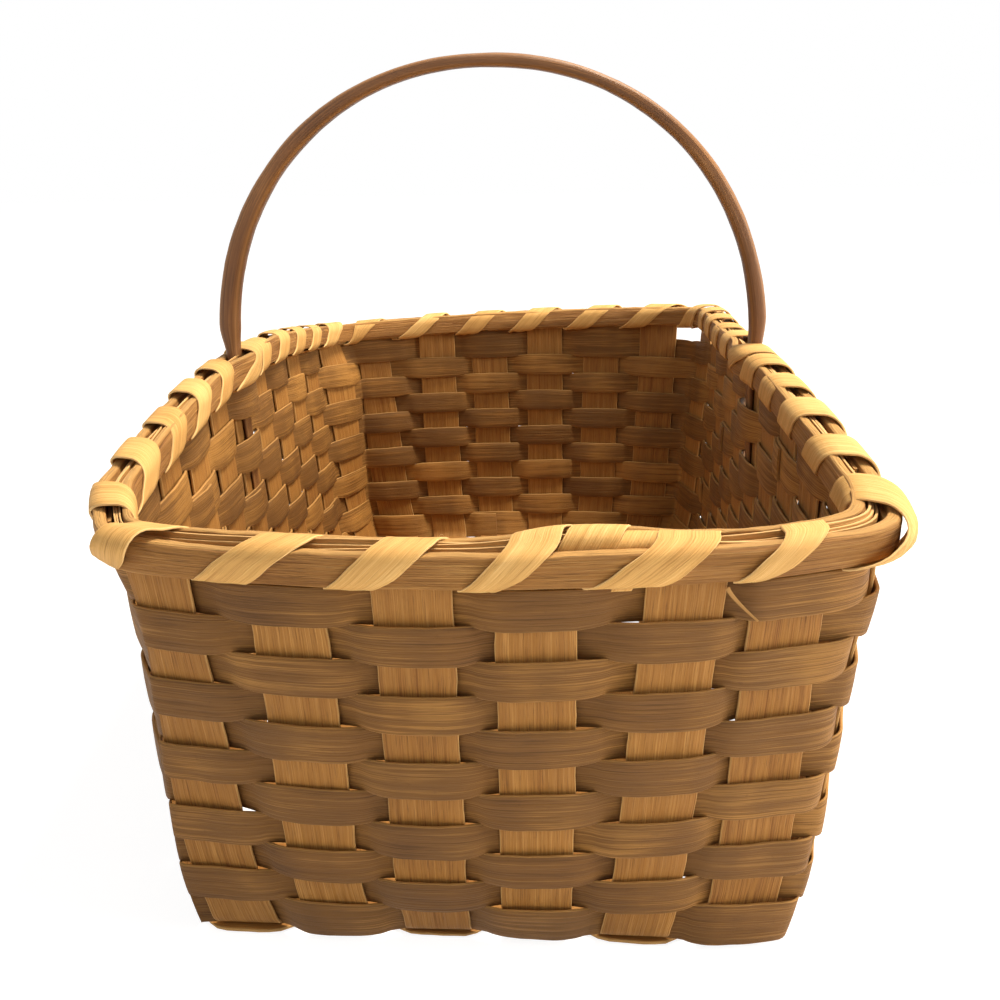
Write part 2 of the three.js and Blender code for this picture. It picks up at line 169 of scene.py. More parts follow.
@dataclass(frozen=True)
class BasketPlan:
    """Sizes of the basket's plan in millimetres, and the surfaces that every piece is laid on.

    A pull is how far a corner draws in, the level where that starts and the height over which it grows.
    """

    stake_width: float = 25.4
    stake_thickness: float = 1.4
    weaver_height: float = 12.2
    weaver_thickness: float = 1.2
    row_gap: float = 0.5
    row_count: int = 11
    long_count: int = 6
    cross_count: int = 11
    base: Outline = Outline(width=251.9, length=411.0, squareness=10.0, side_margin=21.95, end_margin=5.3)
    top: Outline = Outline(width=260.4, length=414.2, squareness=12.1, side_margin=18.4, end_margin=9.4,
                           bow=19.0)
    foot_level: float = 5.175
    rows_bottom: float = 6.25
    hoop_gap: float = 1.6
    hoop_height: float = 11.94
    tail_rows: int = 4
    tail_tip: float = 1.2
    tail_thickness: float = 3.0
    corner_cross: float = 0.3
    rim_steps: int = 48
    rim_smoothing: float = 0.16
    side_rise: float = 16.8
    rise_ease: float = 1.3
    middle_shift: float = 6.2
    middle_draw: float = 0.6
    foot_tuck: float = 6.8
    foot_tuck_level: float = 45.0
    foot_lean: float = 0.0078
    foot_step: float = 4.2
    foot_step_x: float = 76.0
    foot_step_width: float = 44.0
    foot_step_reach: float = 120.0
    end_belly: float = 7.2
    belly_reach: float = 97.0
    corner_start: float = 106.0
    corner_width: float = 20.0
    corner_back: float = 165.0
    corner_depth: float = 40.0
    left_rim_pull: float = 3.0
    left_pulls: tuple[Triple, ...] = ((8.5, 148.0, -24.0),)
    right_pulls: tuple[Triple, ...] = ((8.0, 135.0, -105.0), (-2.2, 105.0, 30.0))
    right_rim_pull: float = -1.6
    right_rim_ease: float = 5.0
    back_start: float = 50.0
    back_depth: float = 150.0
    back_lift: float = 3.2
    back_tilt: float = 0.036
    back_sag: float = 1.6
    sway_seed: int = 11
    sway_reach: float = 1.3
    front_sway: tuple[float, ...] = (-3.6, 0.2, 0.0, -2.2, 3.4, -3.8)
    back_sway: tuple[float, ...] = (0.5, -0.4, 0.2, 0.0, -2.6, 4.6)

    @property
    def loop_count(self) -> int:
        """How many stakes stand round the whole wall."""
        return 2 * (self.long_count + self.cross_count)

    @property
    def row_pitch(self) -> float:
        """Height from one row of weaving to the next."""
        return self.weaver_height + self.row_gap

    @property
    def rows_top(self) -> float:
        """Upper edge of the top row."""
        return self.rows_bottom + self.row_count * self.row_pitch

    @property
    def hoop_bottom(self) -> float:
        """Lower edge of the rim hoops."""
        return self.rows_top + self.hoop_gap

    @property
    def hoop_top(self) -> float:
        """Upper edge of the rim hoops."""
        return self.hoop_bottom + self.hoop_height

    @property
    def tail_tip_level(self) -> float:
        """Lower edge of the rows that the handle's tails reach down behind."""
        return self.rows_top - self.tail_rows * self.row_pitch

    @property
    def handle_places(self) -> tuple[int, int]:
        """The middle stake of the right wall and of the left wall."""
        right = self.long_count + 1 + (self.cross_count - 1) // 2
        return right, right + self.long_count + self.cross_count

    @cached_property
    def base_pitches(self) -> tuple[float, float]:
        """From one long stake to the next in the base, and from one cross stake to the next."""
        return self.pitches(self.base)

    @cached_property
    def wall_of(self) -> Array:
        """The wall of each stake: 0 front, 1 right, 2 back, 3 left."""
        return np.repeat(np.arange(4), [self.long_count, self.cross_count] * 2)

    @cached_property
    def wall_runs(self) -> Array:
        """The direction along each wall, counterclockwise from above."""
        return np.array([[1.0, 0.0], [0.0, 1.0], [-1.0, 0.0], [0.0, -1.0]])

    @cached_property
    def sway(self) -> Array:
        """How far each stake's top leans along its wall: seen ones as in the photograph, others seeded.

        Returns:
            One distance for each stake round the wall.
        """
        draw = np.random.default_rng(self.sway_seed)
        lean = draw.uniform(-self.sway_reach, self.sway_reach, self.loop_count)
        back = self.long_count + self.cross_count
        lean[: self.long_count] = self.front_sway
        lean[back : back + self.long_count] = self.back_sway
        return lean

    @cached_property
    def stands(self) -> tuple[Array, Array, Array]:
        """Where each stake stands, on the plan's outline at the foot and at the top.

        Returns:
            Each stake's foot, its point at the top row's edge, and its turn there.
        """
        counts = np.array([self.long_count, self.cross_count] * 2)
        firsts = np.cumsum(counts) - counts
        order = np.arange(self.loop_count) - firsts[self.wall_of] - (counts[self.wall_of] - 1) / 2.0
        foot, _ = self._stand(order, self.base)
        top, turn = self._stand(order, self.top)
        return foot, top, turn

    def pitches(self, outline: Outline) -> tuple[float, float]:
        """From one stake to the next on an outline's short walls, and on its long ones."""
        return ((outline.width - 2.0 * outline.side_margin - self.stake_width) / (self.long_count - 1),
                (outline.length - 2.0 * outline.end_margin - self.stake_width) / (self.cross_count - 1))

    def apart(self, position: Array, place: float) -> Array:
        """How many places a position lies past a place, the shorter way round the loop."""
        half = self.loop_count / 2.0
        return (position - place + half) % self.loop_count - half

    def _stand(self, order: Array, outline: Outline) -> tuple[Array, Array]:
        """Points and turns of all stakes on an outline.

        A point lies reach * (1 - v^n)^(1/n) + bow * (1 - v^2) out from the middle, v being its distance
        along the wall over half the wall.

        Args:
            order: each stake's place in its wall, counted from the wall's middle.
            outline: what they stand on.

        Returns:
            Points (stakes, 2) and turn angles (stakes,).
        """
        power = outline.squareness
        is_short = self.wall_of % 2 == 0
        offset = order * np.where(is_short, *self.pitches(outline))
        half_run = np.where(is_short, outline.width, outline.length) / 2.0
        half_reach = np.where(is_short, outline.length, outline.width) / 2.0
        bow = np.where(is_short, outline.bow, 0.0)
        share = np.minimum(np.abs(offset) / half_run, 0.999)
        reach = (1.0 - share**power) ** (1.0 / power)
        run = self.wall_runs[self.wall_of]
        out = np.stack([run[:, 1], -run[:, 0]], -1)
        slope = np.sign(offset) * share ** (power - 1.0) / half_run
        slope = slope * half_reach / reach ** (power - 1.0) + 2.0 * bow * offset / half_run**2
        distance = half_reach * reach + bow * (1.0 - share**2)
        return run * offset[:, None] + out * distance[:, None], np.arctan(slope)

    def frame_at(self, place: Array, height: Array) -> tuple[Array, Array, Array]:
        """A stake's middle, which goes straight from foot to top, and its directions along and out.

        Args:
            place: stake numbers, whole.
            height: heights over the ground.

        Returns:
            Three arrays whose last axis is X and Y.
        """
        foot, top, turns = self.stands
        stake = (np.asarray(place) - 1) % self.loop_count
        share = (np.asarray(height, float) - self.foot_level) / (self.rows_top - self.foot_level)
        turn = turns[stake] * np.maximum(share, 0.0)
        run = self.wall_runs[self.wall_of[stake]]
        cos, sin = np.cos(turn), np.sin(turn)
        run = np.stack([run[..., 0] * cos - run[..., 1] * sin, run[..., 0] * sin + run[..., 1] * cos], -1)
        middle = blend(foot[stake], top[stake], share[..., None])
        middle = middle + run * (self.sway[stake] * np.maximum(share, 0.0))[..., None]
        return middle, run, np.stack([run[..., 1], -run[..., 0]], -1)

    def flat_point(self, place: Array, distance: Array, offset: Array, height: Array) -> Array:
        """A point over a stake's flat: middle + run * distance + out * offset."""
        middle, run, out = self.frame_at(place, height)
        return middle + run * np.asarray(distance)[..., None] + out * np.asarray(offset)[..., None]

    def loop_point(self, position: Array, offset: Array, height: Array) -> Array:
        """A point of the wall at any place round the loop.

        Over a stake it is straight. In a gap it is a quadratic curve between the two flats' edges, whose
        control point is where the flats' directions meet at a corner, and halfway between elsewhere.

        Args:
            position: places round the loop, not only whole ones.
            offset: distance out of the wall's middle surface.
            height: height over the ground.

        Returns:
            X and Y on the last axis.
        """
        position, offset, height = np.broadcast_arrays(position, offset, height)
        half = self.stake_width / 2.0
        place = np.floor(position).astype(int)
        start = self.flat_point(place, half, offset, height)
        end = self.flat_point(place + 1, -half, offset, height)
        chord = end - start
        gap = np.hypot(chord[..., 0], chord[..., 1])
        distance = (position - place) * (self.stake_width + gap)
        before = self.flat_point(place, distance, offset, height)
        after = self.flat_point(place + 1, distance - self.stake_width - gap, offset, height)
        _, run_a, _ = self.frame_at(place, height)
        _, run_b, _ = self.frame_at(place + 1, height)
        cross = run_a[..., 0] * run_b[..., 1] - run_a[..., 1] * run_b[..., 0]
        is_corner = cross > self.corner_cross
        reach = chord[..., 0] * run_b[..., 1] - chord[..., 1] * run_b[..., 0]
        reach = np.where(is_corner, reach / np.where(is_corner, cross, 1.0), 0.0)
        control = np.where(is_corner[..., None], start + run_a * reach[..., None], (start + end) / 2.0)
        share = ramp(distance - half, gap)[..., None]
        between = (1.0 - share) ** 2 * start + 2.0 * share * (1.0 - share) * control + share**2 * end
        ahead = distance[..., None]
        return np.where(ahead <= half, before, np.where(ahead >= half + gap[..., None], after, between))

    def wall_point(self, position: Array, offset: Array, height: Array) -> Array:
        """A point of the wall in X, Y and Z, before settle()."""
        position, offset, height = np.broadcast_arrays(position, offset, height)
        return np.concatenate([self.loop_point(position, offset, height), height[..., None]], -1)

    def pitch_at(self, place: Array, height: float) -> Array:
        """The distance from a stake's middle to the next one's: a stake's width and the gap's chord.

        Args:
            place: stake numbers, whole.
            height: height over the ground.

        Returns:
            Distances like place.
        """
        half = self.stake_width / 2.0
        chord = self.flat_point(place + 1, -half, 0.0, height) - self.flat_point(place, half, 0.0, height)
        return self.stake_width + np.linalg.norm(chord, axis=-1)

    @cached_property
    def rim_table(self) -> tuple[Array, Array, Array]:
        """Smoothed plan of the wall at the rim's lower and upper edge, with its outward directions.

        The loop is sampled at even places and smoothed by a bell curve, so that the stiff hoops round off
        what the flat stakes leave as facets.

        Returns:
            Places, points (levels, places, 2) and outward directions (levels, places, 2).
        """
        places = np.arange(self.loop_count * self.rim_steps) / self.rim_steps + 1.0
        rates = np.fft.fftfreq(places.size) * math.pi * self.rim_smoothing * self.rim_steps
        keep = np.exp(-2.0 * rates**2)[:, None]
        levels = [self.loop_point(places, 0.0, level) for level in (self.hoop_bottom, self.hoop_top)]
        points = np.stack([np.fft.ifft(np.fft.fft(level, axis=0) * keep, axis=0).real for level in levels])
        run = np.roll(points, -1, 1) - np.roll(points, 1, 1)
        run = run / np.linalg.norm(run, axis=-1, keepdims=True)
        return places, points, np.stack([run[..., 1], -run[..., 0]], -1)

    def rim_point(self, position: Array, offset: Array, height: Array) -> Array:
        """A settled point of the rim: the smoothed plan plus its outward direction times the offset.

        Args:
            position: places round the loop.
            offset: distance out of the wall's middle surface.
            height: height over the ground.

        Returns:
            X, Y and Z on the last axis.
        """
        position, offset, height = np.broadcast_arrays(position, offset, height)
        places, points, outs = self.rim_table
        share = (height - self.hoop_bottom) / (self.hoop_top - self.hoop_bottom)
        found = []
        for axis in (0, 1):
            low, high = (
                np.interp(position, places, points[level, :, axis], period=self.loop_count)
                + offset * np.interp(position, places, outs[level, :, axis], period=self.loop_count)
                for level in (0, 1)
            )
            found.append(blend(low, high, share))
        return self.settle(np.stack([*found, height], -1), 1.0)

    def settle(self, points: Array, rim_part: Array | float | None = None) -> Array:
        """Moves points from the even plan to the hand-made basket.

        The long sides rise towards their middle, as in the CAD part: z + rise * min(z / rim, 1) * m with
        m = (1 - v^2)^ease and v = y over the half length. The middle leans to the left with the height by
        the same curve. Below the tuck level the plan draws in along X by low = (1 - z / level)^2. The end
        walls' middle bellies out by belly * (1 - low) * (1 - z / rim), to nothing at the belly's reach in X.
        The foot leans over along X in proportion to Y, and its front steps forward by step * low * bell(x).
        The long walls' ends draw in along X by their pulls * s(x) * s(y), s being smooth steps. At the back
        the rim stands higher, more so on its right, and the rows are beaten down closer.

        Args:
            points: X, Y and Z on the last axis.
            rim_part: 1 for what belongs to the rim and 0 for the rows. By default it goes by the height.

        Returns:
            The moved points.
        """
        x, y, z = np.moveaxis(points, -1, 0)
        middle = (1.0 - ramp(np.abs(y), self.top.length / 2.0) ** 2) ** self.rise_ease
        share = ramp(z, self.hoop_top)
        low = ramp(z - self.foot_tuck_level, -self.foot_tuck_level) ** 2
        draw = self.middle_draw * np.clip(x / (self.top.width / 2.0), -1.0, 1.0)
        shifted = x - share * middle * (self.middle_shift + draw)
        shifted = shifted * (1.0 - self.foot_tuck * low / (self.base.width / 2.0))
        belly = self.end_belly * (1.0 - low) * (1.0 - share) * (1.0 - ramp(np.abs(x), self.belly_reach) ** 2)
        pushed = y + belly * np.clip(y / (self.base.length / 2.0), -1.0, 1.0)
        step = self.foot_step * low * bump(x - self.foot_step_x, self.foot_step_width)
        pushed = pushed - step * ease(-y, self.foot_step_reach)
        shifted = shifted + self.foot_lean * pushed * (1.0 - share)
        left, right = (sum(far * ramp(z - start, height) for far, start, height in pulls)
                       for pulls in (self.left_pulls, self.right_pulls))
        left = left + self.left_rim_pull
        right = right + self.right_rim_pull * ramp(z - self.rows_top, self.right_rim_ease)
        corner = ease(np.abs(x) - self.corner_start, self.corner_width)
        corner = corner * ease(np.abs(y) - self.corner_back, self.corner_depth)
        shifted = shifted + corner * np.where(x < 0.0, left, -right)
        rim_part = ease(z - self.rows_top + 1.0, 4.0) if rim_part is None else rim_part
        sag, lift = self.back_sag * ramp(z, self.rows_top), self.back_lift + self.back_tilt * x
        moved = blend(-sag, lift, rim_part)
        lifted = z + self.side_rise * share * middle + moved * ease(y - self.back_start, self.back_depth)
        return np.stack([shifted, pushed, lifted], -1)


PLAN = BasketPlan()


@dataclass(frozen=True)
class SplintSection:
    """Cross-section of a flat splint: shares of the half width and half thickness, with worn edges."""

    across: tuple[float, ...] = (-1.0, -0.99, -0.965, -0.55, 0.0, 0.55, 0.965, 0.99, 1.0)
    through: tuple[float, ...] = (0.35, 0.8, 1.0, 1.0, 1.0, 1.0, 1.0, 0.8, 0.35)
    edge_share: float = 0.966

    @cached_property
    def outline(self) -> tuple[Array, Array]:
        """Shares across and through, all the way round."""
        across, through = np.array(self.across), np.array(self.through)
        return np.concatenate([across, across[::-1]]), np.concatenate([through, -through[::-1]])

    def tones(self, light: Array, grey: Array, edge: Array | None = None) -> Array:
        """Lightness, greyness and edge mask in one grid, the mask being the section's two cut edges."""
        edge = (np.abs(self.outline[0]) > self.edge_share).astype(float) if edge is None else edge
        return np.stack(np.broadcast_arrays(light, grey, edge), -1)


SECTION = SplintSection()


def rounded_outline(power: float, count: int) -> tuple[Array, Array, Array]:
    """A superellipse section: depth and height are the signed powers 2/n of the cosine and sine.

    Args:
        power: the exponent n, squarer as it grows.
        count: how many points.

    Returns:
        Depths and heights between -1 and 1, and the angles they belong to.
    """
    angle = (np.arange(count) + 0.5) / count * 2.0 * math.pi
    return signed_power(np.cos(angle), 2.0 / power), signed_power(np.sin(angle), 2.0 / power), angle


class SplintMesh:
    """Gathers swept strips into one mesh with a UV map in metres and a tone attribute."""

    def __init__(self) -> None:
        """Starts with no strips."""
        self._points: list[Array] = []
        self._faces: list[list[int]] = []
        self._uvs: list[Array] = []
        self._tones: list[Array] = []
        self._count = 0

    def add_strip(self, strip: Strip, uv_shift: float, is_loop: bool = False) -> None:
        """Adds a grid of points as a closed tube, with flat ends unless it is a loop.

        U is the mean distance along the strip and V the distance round the section, so grain follows both.
        The faces are turned round where the tube's volume would be negative.

        Args:
            strip: points and tones.
            uv_shift: metres added to U and V, so that no two strips share their grain.
            is_loop: whether the last station joins the first.
        """
        points, tone = strip
        stations, around = points.shape[:2]
        u = distances(np.concatenate([points, points[:1]]) if is_loop else points) * MILLIMETRE + uv_shift
        ring = np.swapaxes(np.concatenate([points, points[:, :1]], 1), 0, 1)
        v = distances(ring) * MILLIMETRE + uv_shift * 0.37
        rows = stations if is_loop else stations - 1
        i, j = np.meshgrid(np.arange(rows), np.arange(around), indexing="ij")
        i, j = i.ravel()[:, None], j.ravel()[:, None]
        far_i, far_j = i + [0, 0, 1, 1], j + [0, 1, 1, 0]
        corners = far_i % stations * around + far_j % around
        corner_uv = np.stack([u[far_i], v[far_j]], -1)
        flat = points.reshape(-1, 3)
        a, b, c, d = (flat[corners[:, k]] - flat.mean(0) for k in range(4))
        turn = -1 if np.sum(a * (np.cross(b, c) + np.cross(c, d))) < 0.0 else 1
        self._faces.extend((corners[:, ::turn] + self._count).tolist())
        self._uvs.append(corner_uv[:, ::turn].reshape(-1, 2))
        if not is_loop:
            first = np.arange(around)[::-1]
            for ids, at_u in ((first, u[0]), (first[::-1] + (stations - 1) * around, u[-1])):
                self._faces.append((ids[::turn] + self._count).tolist())
                self._uvs.append(np.stack([np.full(around, at_u), v[ids[::turn] % around]], -1))
        self._points.append(flat)
        self._tones.append(np.broadcast_to(tone, points.shape).reshape(-1, 3))
        self._count += stations * around

    def finish(self, name: str, material: Material, slot: Slot, *nodes: str, sharp: float = 55.0) -> None:
        """Args:
            name: the object's name.
            material: its material.
            slot: not used.
            *nodes: the CAD nodes that it stands for.
            sharp: degrees from which an edge stays sharp.
        """
        mesh = bpy.data.meshes.new(name)
        mesh.from_pydata((np.concatenate(self._points) * MILLIMETRE).tolist(), [], self._faces)
        layer = mesh.uv_layers.new(name=UV_NAME)
        layer.data.foreach_set("uv", np.concatenate(self._uvs).astype(np.float32).ravel())
        tones = np.concatenate(self._tones)
        rgba = np.concatenate([tones, np.ones((len(tones), 1))], 1).astype(np.float32)
        mesh.attributes.new(TONE_NAME, "FLOAT_COLOR", "POINT").data.foreach_set("color", rgba.ravel())
        mesh.polygons.foreach_set("use_smooth", np.ones(len(mesh.polygons), bool))
        mesh.set_sharp_from_angle(angle=math.radians(sharp))
        mesh.materials.append(material)
        mesh.validate()
        piece = bpy.data.objects.new(name, mesh)
        bpy.context.scene.collection.objects.link(piece)
        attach(piece, BODY)
        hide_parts(*nodes)
        LOG.info("%s: %d faces, stands for %s", name, len(mesh.polygons), ", ".join(nodes))


@dataclass(frozen=True)
class WovenStakes:
    """The flat stakes that cross in the base and stand as the walls."""

    bend_radius: float = 6.0
    ply_level: float = 1.92
    ply_wave: float = 1.1
    ply_power: float = 4.0
    top_drop: float = 2.4
    top_uneven: float = 1.1
    foot_probe: float = 2.0
    foot_clear: float = 0.5
    wall_steps: int = 46
    bend_steps: int = 8
    steps_per_crossing: int = 9
    edge_trim: float = 0.25
    edge_waves: Waves = ((0.3, 90.0), (0.08, 9.0))
    thickness_waves: Waves = ((0.07, 60.0),)
    edge_peek: float = 5.7
    edge_curl: float = 0.9
    peek_level: float = 9.0
    peek_ease: float = 12.0
    knot_stake: int = 4
    knot_along: float = 117.0
    knot_length: float = 2.2
    knot_dark: float = 1.4

    def base_path(self, is_long: bool, order: int, half_run: float) -> tuple[Array, Array]:
        """Where a stake runs in the base, and its height there: level +- wave * (1 - share^power).

        The share is 0 at a crossing's middle and 1 halfway to the next crossing.

        Args:
            is_long: whether it runs along Y.
            order: its number, from 1.
            half_run: how far the flat part reaches from the middle.

        Returns:
            Distances along the stake and heights.
        """
        others = PLAN.cross_count if is_long else PLAN.long_count
        run = np.linspace(-half_run, half_run, others * self.steps_per_crossing + 1)
        place = run / PLAN.base_pitches[is_long] + (others + 1) / 2.0
        other = np.clip(np.rint(place), 1, others)
        share = np.minimum(np.abs(place - other) * 2.0, 1.0)
        sign = np.where(((other + order) % 2 == 0) == is_long, 1.0, -1.0)
        return run, self.ply_level + sign * self.ply_wave * (1.0 - share**self.ply_power)

    def wall_part(self, place: int, level: float) -> tuple[Array, Array]:
        """One wall end of a stake, from its trimmed top down round the bend to the base.

        Args:
            place: the stake's place round the wall.
            level: the base's height where the bend ends.

        Returns:
            Middle points (stations, 3) and directions along the wall (stations, 3).
        """
        top = PLAN.hoop_top - self.top_drop + self.top_uneven * ripple(np.array(place * 7.0), 5, 3.0)
        top = PLAN.hoop_bottom + self.foot_clear if place in PLAN.handle_places else top
        heights = np.linspace(top, level + self.bend_radius, self.wall_steps)
        middle, run, _ = PLAN.frame_at(np.full(heights.shape, place), heights)
        foot, foot_run, foot_out = PLAN.frame_at(np.array(place), np.array(level + self.bend_radius))
        angle = np.linspace(HALF_TURN / 2.0, 0.0, self.bend_steps + 1)[1:]
        bend = foot + foot_out * (self.bend_radius * (np.sin(angle) - 1.0))[:, None]
        bend_height = level + self.bend_radius * (1.0 - np.cos(angle))
        points = np.concatenate([np.column_stack([middle, heights]), np.column_stack([bend, bend_height])])
        runs = np.concatenate([run, np.broadcast_to(foot_run, bend.shape)])
        return points, np.column_stack([runs, np.zeros(len(runs))])

    def strip(self, is_long: bool, order: int) -> Strip:
        """A whole stake: down one wall, across the base and up the wall opposite.

        Args:
            is_long: whether it runs along Y.
            order: its number, from 1.

        Returns:
            Its points and tones.
        """
        loop = PLAN.loop_count
        start = order if is_long else loop + 1 - order
        end = loop - PLAN.cross_count + 1 - order if is_long else PLAN.long_count + order
        probe = np.array(PLAN.foot_level + self.foot_probe)
        feet = [PLAN.frame_at(np.array(place), probe)[0] for place in (start, end)]
        axis = 1 if is_long else 0
        reach = min(abs(foot[axis]) for foot in feet) - self.bend_radius - self.foot_clear
        run, level = self.base_path(is_long, order, reach)
        first, first_run = self.wall_part(start, float(level[0]))
        last, last_run = self.wall_part(end, float(level[-1]))
        side = blend(feet[0][1 - axis], feet[1][1 - axis], (run / run[-1] + 1.0) / 2.0)
        base = np.column_stack([side, run, level] if is_long else [run, side, level])
        base_run = np.broadcast_to([1.0, 0.0, 0.0] if is_long else [0.0, -1.0, 0.0], base.shape)
        middle = np.concatenate([first, base, last[::-1]])
        across = np.concatenate([first_run, base_run, -last_run[::-1]])
        return self._sweep(middle, across, is_long, order)

    def _sweep(self, middle: Array, across: Array, is_long: bool, order: int) -> Strip:
        """Carries the section along a path: middle + across * half width + normal * half thickness.

        The normal is square to the path and to the section.

        Args:
            middle: the path (stations, 3).
            across: unit directions of the width (stations, 3).
            is_long: whether the stake runs along Y.
            order: its number, from 1.

        Returns:
            Its points and tones.
        """
        path = np.gradient(middle, axis=0)
        normal = np.cross(across, path / np.linalg.norm(path, axis=1, keepdims=True))
        normal = normal / np.linalg.norm(normal, axis=1, keepdims=True)
        along = distances(middle)[:, None]
        seed = order + (100 if is_long else 200)
        shares, through = SECTION.outline
        left, right = (
            PLAN.stake_width / 2.0 - self.edge_trim + uneven(along, start, self.edge_waves, 7)
            for start in (seed, seed + 50)
        )
        reach = np.where(shares < 0.0, left, right) * shares
        depth = PLAN.stake_thickness / 2.0 * (1.0 + uneven(along, seed + 3, self.thickness_waves)) * through
        points = middle[:, None] + across[:, None] * reach[..., None] + normal[:, None] * depth[..., None]
        light = 0.5 + 0.16 * ripple(along, seed + 9, 120.0) + 0.2 * ripple(np.array(seed * 3.1), 77, 9.0)
        grey = 0.35 + 0.25 * ripple(np.array(seed * 1.7), 78, 9.0)
        if is_long and order == self.knot_stake:
            knot = bump(along - self.knot_along, self.knot_length) * bump(shares + 0.8, 0.3)
            light = light - self.knot_dark * knot * (through > 0.0)
        if not is_long and order in (1, PLAN.cross_count):
            points = self._peek(points, order)
        return PLAN.settle(points), SECTION.tones(light, grey)

    def _peek(self, points: Array, order: int) -> Array:
        """Lets an end cross stake's outer edge bow out under the long stakes that pass over it.

        The edge moves out by a raised cosine round each long stake that lies on top, and curls up a little
        with it, as the splint does round the basket's foot.

        Args:
            points: the stake's points, not yet settled.
            order: the stake's number, first or last.

        Returns:
            The moved points.
        """
        sign = -1.0 if order == 1 else 1.0
        half = PLAN.stake_width / 2.0
        place = points[..., 0] / PLAN.base_pitches[0] + (PLAN.long_count + 1) / 2.0
        above = ease(np.cos(math.pi * (place - order)) + 0.35, 1.1)
        middle_y = sign * (PLAN.base.length / 2.0 - PLAN.base.end_margin - half)
        outward = ramp(sign * (points[..., 1] - middle_y), half) ** 2
        flat = ramp(np.abs(points[..., 0]) - (PLAN.base.width - self.peek_ease) / 2.0, -self.peek_ease)
        amount = above * outward * flat * (points[..., 2] < self.peek_level)
        moved = points.copy()
        moved[..., 1] += sign * self.edge_peek * amount
        moved[..., 2] += self.edge_curl * amount**2
        return moved

    def build(self, material: Material) -> None:
        """Makes all seventeen stakes.

        Args:
            material: the stakes' wood.
        """
        for is_long, count in ((True, PLAN.long_count), (False, PLAN.cross_count)):
            for order in range(1, count + 1):
                name = f"{'long' if is_long else 'cross'}_stake_{order}"
                mesh = SplintMesh()
                mesh.add_strip(self.strip(is_long, order), order * 0.913 + (0.0 if is_long else 17.0))
                mesh.finish(f"{name}_splint", material, Slot.STAKE, name)


